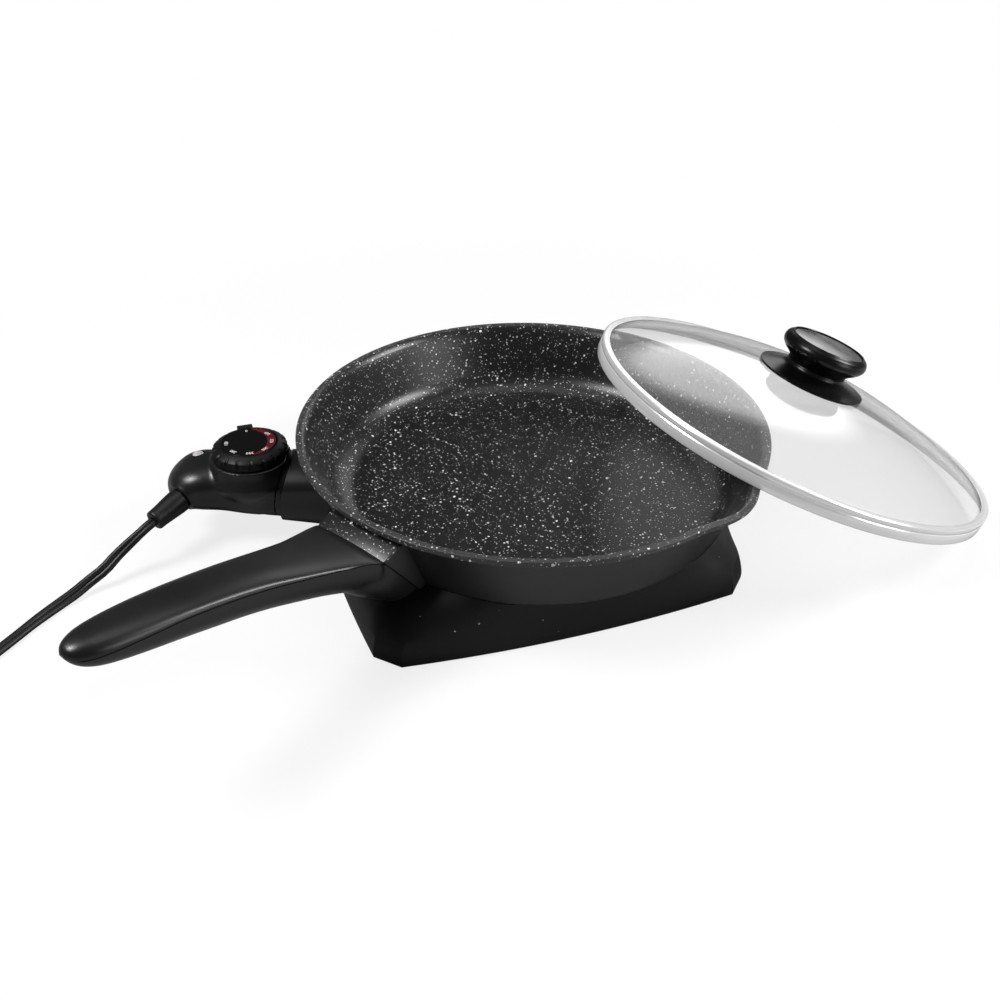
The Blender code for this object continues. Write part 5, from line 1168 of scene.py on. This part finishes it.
def make_dial_knob():
    """The knob: a bevelled rim round the printed disc, and slots down its side."""
    seat = DIAL_TOP - FACE_THICKNESS - GAP
    rim = DIAL_FACE_RADIUS + GAP
    shoulder = DIAL_TOP - DIAL_CHAMFER
    soft = 0.0006
    profile = [(0, seat), (rim, seat), (rim, DIAL_TOP - GAP / 2), (rim + GAP / 2, DIAL_TOP),
               (rim + GAP * 2, DIAL_TOP), (rim + GAP * 3, DIAL_TOP - GAP / 2)]
    crown = ((0.0, 0.10), (0.3, 0.30), (0.6, 0.53), (0.82, 0.74), (0.95, 0.90), (1.0, 1.0))
    start = rim + GAP * 3
    for out, fall in finer(crown, 2):
        profile.append((start + (DIAL_RADIUS - start) * out,
                        DIAL_TOP - (DIAL_TOP - shoulder) * fall))
    steps = 8
    low = DIAL_START + soft
    profile += [(DIAL_RADIUS, shoulder + (low - shoulder) * i / steps)
                for i in range(1, steps + 1)]
    profile += [(DIAL_RADIUS - soft * 0.3, DIAL_START + soft * 0.3),
                (DIAL_RADIUS - soft, DIAL_START), (SHAFT_HOLE, DIAL_START),
                (SHAFT_HOLE, DIAL_START + soft), (0, DIAL_START + soft)]
    mesh = lathe(profile, DIAL_NOTCHES * DIAL_NOTCH_STEPS)
    for vertex in mesh.vertices:
        radius = math.hypot(vertex.co.x, vertex.co.y)
        if radius < (start + DIAL_RADIUS) / 2 or vertex.co.z < DIAL_START + soft / 2:
            continue
        step = math.atan2(vertex.co.y, vertex.co.x) / (2 * math.pi) * DIAL_NOTCHES
        away = abs(step - round(step)) / (DIAL_NOTCH_SHARE / 2)
        if away < 1:
            height = (vertex.co.z - DIAL_START) / (DIAL_TOP - DIAL_START)
            fade = min(max((height - 0.18) / 0.2, 0), 1)
            depth = DIAL_NOTCH_DEPTH * (1 - away ** 4) * fade
            vertex.co.x *= 1 - depth / radius
            vertex.co.y *= 1 - depth / radius
    piece("dial_moulded", smoothed(mesh, math.radians(40)), LOOKS["dial_black"], "dial",
          "dial_knob", DIAL_PLACE)


def make_dial_face():
    """The printed disc: a dark red crescent and plain numbers on black."""
    edge = GAP
    profile = [(0, DIAL_TOP), (DIAL_FACE_RADIUS - edge, DIAL_TOP),
               (DIAL_FACE_RADIUS, DIAL_TOP - edge),
               (DIAL_FACE_RADIUS, DIAL_TOP - FACE_THICKNESS), (0, DIAL_TOP - FACE_THICKNESS)]
    piece("dial_disc", lathe(profile, 128), LOOKS["dial_face_black"], "dial", "dial_face",
          DIAL_PLACE)
    shape = bmesh.new()
    rows = []
    steps = 72
    for i in range(steps + 1):
        share = i / steps
        turn = math.radians(POINTER_TURN + RED_START + (RED_END - RED_START) * share)
        width = (RED_OUTER - RED_INNER) * math.sin(math.pi * share) ** 0.6
        rows.append([shape.verts.new((radius * math.cos(turn), radius * math.sin(turn),
                                      DIAL_TOP + PRINT_THICKNESS / 2))
                     for radius in (RED_OUTER, RED_OUTER - max(width, GAP / 3))])
    for first, second in zip(rows, rows[1:]):
        shape.faces.new((first[0], second[0], second[1], first[1]))
    crescent = bpy.data.meshes.new("dial_crescent")
    shape.to_mesh(crescent)
    shape.free()
    piece("dial_crescent", crescent, LOOKS["dial_red"], "dial",
          place=DIAL_PLACE)
    for text, reach in DIAL_NUMBERS:
        line = bpy.data.curves.new("number_" + text, "FONT")
        line.body = text
        line.size = NUMBER_SIZE
        line.align_x = "CENTER"
        line.align_y = "CENTER"
        line.extrude = PRINT_THICKNESS / 2
        line.resolution_u = 4
        guide = bpy.data.objects.new("guide", line)
        bpy.context.scene.collection.objects.link(guide)
        bpy.context.view_layer.update()
        graph = bpy.context.evaluated_depsgraph_get()
        mesh = bpy.data.meshes.new_from_object(guide.evaluated_get(graph))
        bpy.data.objects.remove(guide)
        turn = spun(POINTER_TURN + reach)
        lift = Matrix.Translation((NUMBER_RADIUS, 0, DIAL_TOP + PRINT_THICKNESS))
        mesh.transform(turn @ lift @ spun(-90))
        piece("dial_number_" + text, mesh, LOOKS["dial_print"], "dial",
              place=DIAL_PLACE)


def make_lens():
    """The clear lens over the lamp, a low dome above a flange inside the shell."""
    low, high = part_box("indicator_lens")
    rise = 0.0016
    surface = high.z - rise
    profile = [(0, high.z)]
    for i in range(1, 9):
        turn = math.pi / 2 * i / 8
        profile.append((LENS_RADIUS * math.sin(turn), surface + rise * math.cos(turn)))
    profile += [(LENS_RADIUS, low.z), (0, low.z)]
    piece("lens_moulded", lathe(profile, 64), LOOKS["lens_clear"], "control",
          "indicator_lens", CONTROL_PLACE @ Matrix.Translation(LENS_PLACE))


# The lid

LID_RADIUS = 0.138
BAND_SHEET = 0.0009
BAND_FLANGE = 0.0047
GLASS_EDGE = 0.1366
GLASS_THICKNESS = 0.0040
DOME_RISE = 0.0285
GLASS_EDGE_HEIGHT = 0.0080
KNOB_FOOT_RADIUS = 0.0358
KNOB_FOOT_EDGE = 0.0014
KNOB_NECK_RADIUS = 0.0200
KNOB_NECK_HEIGHT = 0.0090
KNOB_HEAD_RADIUS = 0.0284
KNOB_HEAD_HEIGHT = 0.0163
KNOB_TOP_RADIUS = 0.0252
KNOB_TOP_WALL = 0.0014
KNOB_RECESS = 0.0012
KNOB_FOOT_SHARES = ((0.0, 0.0), (0.04, 0.28), (0.16, 0.48), (0.36, 0.66), (0.64, 0.84),
                    (1.00, 1.00))
KNOB_HEAD_SHARES = (
    (0.965, 0.14), (1.000, 0.32), (0.975, 0.50), (0.895, 0.66), (0.785, 0.80), (0.704, 0.93),
)
CAP_THICKNESS = 0.0008
LID_SCREW_BORE = 0.0028
LID_STEPS = 192


def dome(radius):
    """Height of the glass's upper side at a radius."""
    return GLASS_EDGE_HEIGHT + DOME_RISE * (1 - (radius / GLASS_EDGE) ** 2)


def dome_under(radius):
    """Height of the glass's lower side at a radius."""
    slope = math.atan(2 * DOME_RISE * radius / GLASS_EDGE ** 2)
    return dome(radius) - GLASS_THICKNESS / math.cos(slope)


def make_lid():
    """The glass dome, its band and its knob, each turned about the lid's own axis."""
    place = lid_matrix()
    steps = 28
    radii = [LID_SCREW_BORE + (GLASS_EDGE - LID_SCREW_BORE) * i / steps
             for i in range(steps + 1)]
    upper = [(radius, dome(radius)) for radius in radii]
    under = [(radius, dome_under(radius)) for radius in radii]
    piece("glass_dome", lathe(upper + under[::-1], LID_STEPS, ring=True), LOOKS["clear_glass"],
          "lid", "lid_glass", place)
    inner = LID_RADIUS - BAND_FLANGE
    flange_low = dome(inner) + GAP
    flange_top = flange_low + BAND_SHEET
    edge_low = dome(GLASS_EDGE) + GAP
    shelf_inner = GLASS_EDGE - BAND_FLANGE / 2
    shelf = dome_under(GLASS_EDGE) - GAP
    wall = LID_RADIUS - BAND_SHEET
    bend = BAND_SHEET * 1.3
    profile = [(inner, flange_low), (inner - GAP / 3, (flange_low + flange_top) / 2),
               (inner, flange_top)]
    for i in range(7):
        turn = math.pi / 2 * (1 - i / 6)
        profile.append((LID_RADIUS - bend + bend * math.cos(turn),
                        flange_top - bend + bend * math.sin(turn)))
    bead = 0.0007
    for i in range(1, 9):
        turn = math.pi * i / 8
        profile.append((LID_RADIUS - GAP * (1 - abs(math.cos(turn))),
                        flange_top - bend - 0.002 - bead * (1 - math.cos(turn))))
    for i in range(7):
        turn = math.pi * i / 6
        profile.append((LID_RADIUS - BAND_SHEET / 2 * (1 - math.cos(turn)),
                        BAND_SHEET / 2 - BAND_SHEET / 2 * math.sin(turn)))
    profile += [(wall, shelf - BAND_SHEET), (shelf_inner, shelf - BAND_SHEET),
                (shelf_inner, shelf), (wall, shelf), (wall, edge_low)]
    piece("band_rolled", lathe(profile, LID_STEPS, ring=True), LOOKS["band_steel"], "lid",
          "lid_band", place)
    foot = dome(KNOB_FOOT_RADIUS) + GAP
    neck = foot + KNOB_NECK_HEIGHT
    profile = [(LID_SCREW_BORE, neck), (KNOB_NECK_RADIUS - GAP, neck)]
    for out, fall in finer(KNOB_FOOT_SHARES, 5):
        profile.append((KNOB_NECK_RADIUS + (KNOB_FOOT_RADIUS - KNOB_NECK_RADIUS) * out,
                        neck - GAP - (KNOB_NECK_HEIGHT - KNOB_FOOT_EDGE - GAP) * fall))
    profile += [(KNOB_FOOT_RADIUS + GAP / 2, foot + KNOB_FOOT_EDGE / 2), (KNOB_FOOT_RADIUS, foot)]
    profile += [(radius, dome(radius) + GAP) for radius in reversed(radii)
                if radius < KNOB_FOOT_RADIUS]
    piece("knob_foot", lathe(profile, 144, ring=True), LOOKS["knob_black"], "lid",
          "knob_base", place)
    head_foot = neck + GAP
    head_top = head_foot + KNOB_HEAD_HEIGHT
    recess = KNOB_TOP_RADIUS - KNOB_TOP_WALL
    seat = head_top - KNOB_RECESS - CAP_THICKNESS
    profile = [(0, seat), (recess, seat), (recess, head_top - GAP), (recess + GAP, head_top),
               (KNOB_TOP_RADIUS - GAP * 2, head_top)]
    rows = ((KNOB_TOP_RADIUS / KNOB_HEAD_RADIUS, 0.03),) + KNOB_HEAD_SHARES
    profile += [(KNOB_HEAD_RADIUS * out, head_top - KNOB_HEAD_HEIGHT * fall)
                for out, fall in finer(rows, 5)]
    profile += [(KNOB_NECK_RADIUS - GAP, head_foot), (0, head_foot)]
    piece("knob_head", lathe(profile, 144), LOOKS["knob_black"], "lid", "knob_grip",
          place)
    disc = seat + GAP
    profile = [(0, disc + CAP_THICKNESS), (recess - GAP * 3, disc + CAP_THICKNESS),
               (recess - GAP, disc + CAP_THICKNESS - GAP), (recess - GAP, disc), (0, disc)]
    piece("knob_cap", lathe(profile, 144), LOOKS["knob_disc_grey"], "lid", "knob_disc",
          place)


# What keeps its solid: pieces in view get a smooth copy, and the rest only a material

COPIES = {
    "cord_black": ["plug_body"],
    "foot_rubber": ["foot_1", "foot_2", "foot_3", "foot_4"],
    "zinc_plate": ["base_screw_1", "base_screw_2", "base_screw_3", "base_screw_4",
                   "handle_screw", "control_screw_1", "control_screw_2", "control_screw_3"],
    "steel": ["terminal_pin_near", "terminal_pin_far", "temperature_probe", "lid_washer",
              "lid_screw"],
    "brass": ["contact_sleeve_near", "contact_sleeve_far", "plug_blade_1", "plug_blade_2"],
    "ceramic": ["terminal_block"],
    "base_black": ["base_cover"],
}
INNER = {
    "zinc_plate": ["thermostat_frame", "dial_shaft"],
    "steel": ["heating_element"],
    "ceramic": ["insulator_stack"],
    "brass": ["bimetal_strip", "contact_blade"],
    "lamp_amber": ["indicator_lamp"],
}
WELD = 0.000002


def body_of(node):
    return next(body for body, names in BODIES.items() if node in names)


def make_copies():
    """Smooth copies of the solids in view, and materials for those inside."""
    for look, names in COPIES.items():
        for name in names:
            shape = bmesh.new()
            shape.from_mesh(NODES[name].data)
            bmesh.ops.remove_doubles(shape, verts=shape.verts, dist=WELD)
            mesh = bpy.data.meshes.new(name)
            shape.to_mesh(mesh)
            shape.free()
            mesh.materials.clear()
            piece(name + "_smooth", smoothed(mesh), LOOKS[look], body_of(name), name)
    for look, names in INNER.items():
        for name in names:
            mesh = NODES[name].data
            mesh.materials.clear()
            mesh.materials.append(LOOKS[look])


LOOKS = make_looks()
make_copies()
make_cord(LOOKS["cord_black"])
make_pan()
make_skirt()
make_guard()
make_handle()
make_housing()
make_relief()
make_dial_knob()
make_dial_face()
make_lens()
make_lid()

# Floor, lights and backdrop

FLOOR_REACH = 6.0
FLOOR_GLOW = 0.80
FLOOR_DULL = (0.35, 0.35, 0.35)
GLOW_NEAR, GLOW_FAR = 0.25, 0.60


def make_floor():
    """A pale floor that keeps the object's soft shadow and turns plain white farther off."""
    look = Look("floor_white", (0.8, 0.8, 0.8), 0.9)
    tree = look.tree
    path = look.add("ShaderNodeLightPath")
    seen = look.math("MAXIMUM", path.outputs["Is Camera Ray"],
                     path.outputs["Is Transmission Ray"])
    tone = look.blend(look.noise(0.4, 2.0), (0.90, 0.90, 0.90), (0.92, 0.92, 0.92))
    look.colour(look.blend(seen, FLOOR_DULL, tone))
    glow = look.span(look.radius(), GLOW_NEAR, GLOW_FAR, FLOOR_GLOW, 1.0, smooth=True)
    white = look.add("ShaderNodeEmission", None, {"Color": (1, 1, 1, 1), "Strength": 1.0})
    mixed = look.add("ShaderNodeMixShader", None, {0: look.math("MULTIPLY", seen, glow)})
    tree.links.new(look.shader.outputs[0], mixed.inputs[1])
    tree.links.new(white.outputs[0], mixed.inputs[2])
    tree.links.new(mixed.outputs[0], tree.nodes["Material Output"].inputs["Surface"])
    mesh = bpy.data.meshes.new("floor")
    mesh.from_pydata([(-FLOOR_REACH, -FLOOR_REACH, COUNTER), (FLOOR_REACH, -FLOOR_REACH, COUNTER),
                      (FLOOR_REACH, FLOOR_REACH, COUNTER), (-FLOOR_REACH, FLOOR_REACH, COUNTER)],
                     [], [(0, 1, 2, 3)])
    piece("floor", mesh, look.material)


def area_light(name, azimuth, elevation, distance, size, power, height=None):
    """A softbox that faces the middle of the pan from a turn and a height in degrees."""
    data = bpy.data.lights.new(name, "AREA")
    data.energy = power
    data.shape = "RECTANGLE"
    data.size = size
    data.size_y = height or size
    light = bpy.data.objects.new(name, data)
    bpy.context.scene.collection.objects.link(light)
    turn, rise = math.radians(azimuth), math.radians(elevation)
    away = Vector((math.cos(rise) * math.cos(turn), math.cos(rise) * math.sin(turn),
                   math.sin(rise)))
    light.location = away * distance
    light.rotation_euler = away.to_track_quat("Z", "Y").to_euler()


WORLD_DIM = 0.11
WORLD_SHINE = 0.10
BACKDROP_SHINE = 1.8
BACKDROP_TURN = 106
BACKDROP_RISE = 0.40


def make_world():
    """White to the camera and through the glass, dim as a light, bright behind in reflections."""
    world = bpy.data.worlds.new("studio")
    bpy.context.scene.world = world
    world.use_nodes = True
    tree = world.node_tree

    def node(kind, options, *values):
        made = tree.nodes.new(kind)
        for key, value in options.items():
            setattr(made, key, value)
        for i, value in enumerate(values):
            if isinstance(value, bpy.types.NodeSocket):
                tree.links.new(value, made.inputs[i])
            elif value is not None:
                made.inputs[i].default_value = value
        return made

    def sum_of(operation, *values):
        return node("ShaderNodeMath", {"operation": operation}, *values).outputs[0]

    path = tree.nodes.new("ShaderNodeLightPath").outputs
    way = tree.nodes.new("ShaderNodeTexCoord").outputs["Generated"]
    turn = math.radians(BACKDROP_TURN)
    behind = Vector((math.cos(turn), math.sin(turn), BACKDROP_RISE)).normalized()
    facing = node("ShaderNodeVectorMath", {"operation": "DOT_PRODUCT"}, way, behind).outputs[1]
    glow = node("ShaderNodeMapRange", {"interpolation_type": "SMOOTHSTEP"}, facing, 0.942, 0.978,
                WORLD_SHINE, BACKDROP_SHINE).outputs[0]
    seen = sum_of("MAXIMUM", path["Is Camera Ray"], path["Is Transmission Ray"])
    shine = sum_of("MULTIPLY", path["Is Glossy Ray"], sum_of("SUBTRACT", glow, WORLD_DIM))
    base = sum_of("ADD", shine, WORLD_DIM)
    strength = sum_of("MAXIMUM", seen, base)
    background = tree.nodes["Background"]
    background.inputs["Color"].default_value = (1, 1, 1, 1)
    tree.links.new(strength, background.inputs["Strength"])


make_floor()
make_world()
area_light("right_box", 40, 36, 1.3, 0.38, 11)
area_light("left_box", -123, 50, 1.3, 0.38, 13)
area_light("side_box", 5, 14, 1.2, 0.5, 4)
area_light("top_box", 120, 80, 1.5, 0.9, 3.5)

bpy.context.scene.view_settings.view_transform = "Standard"
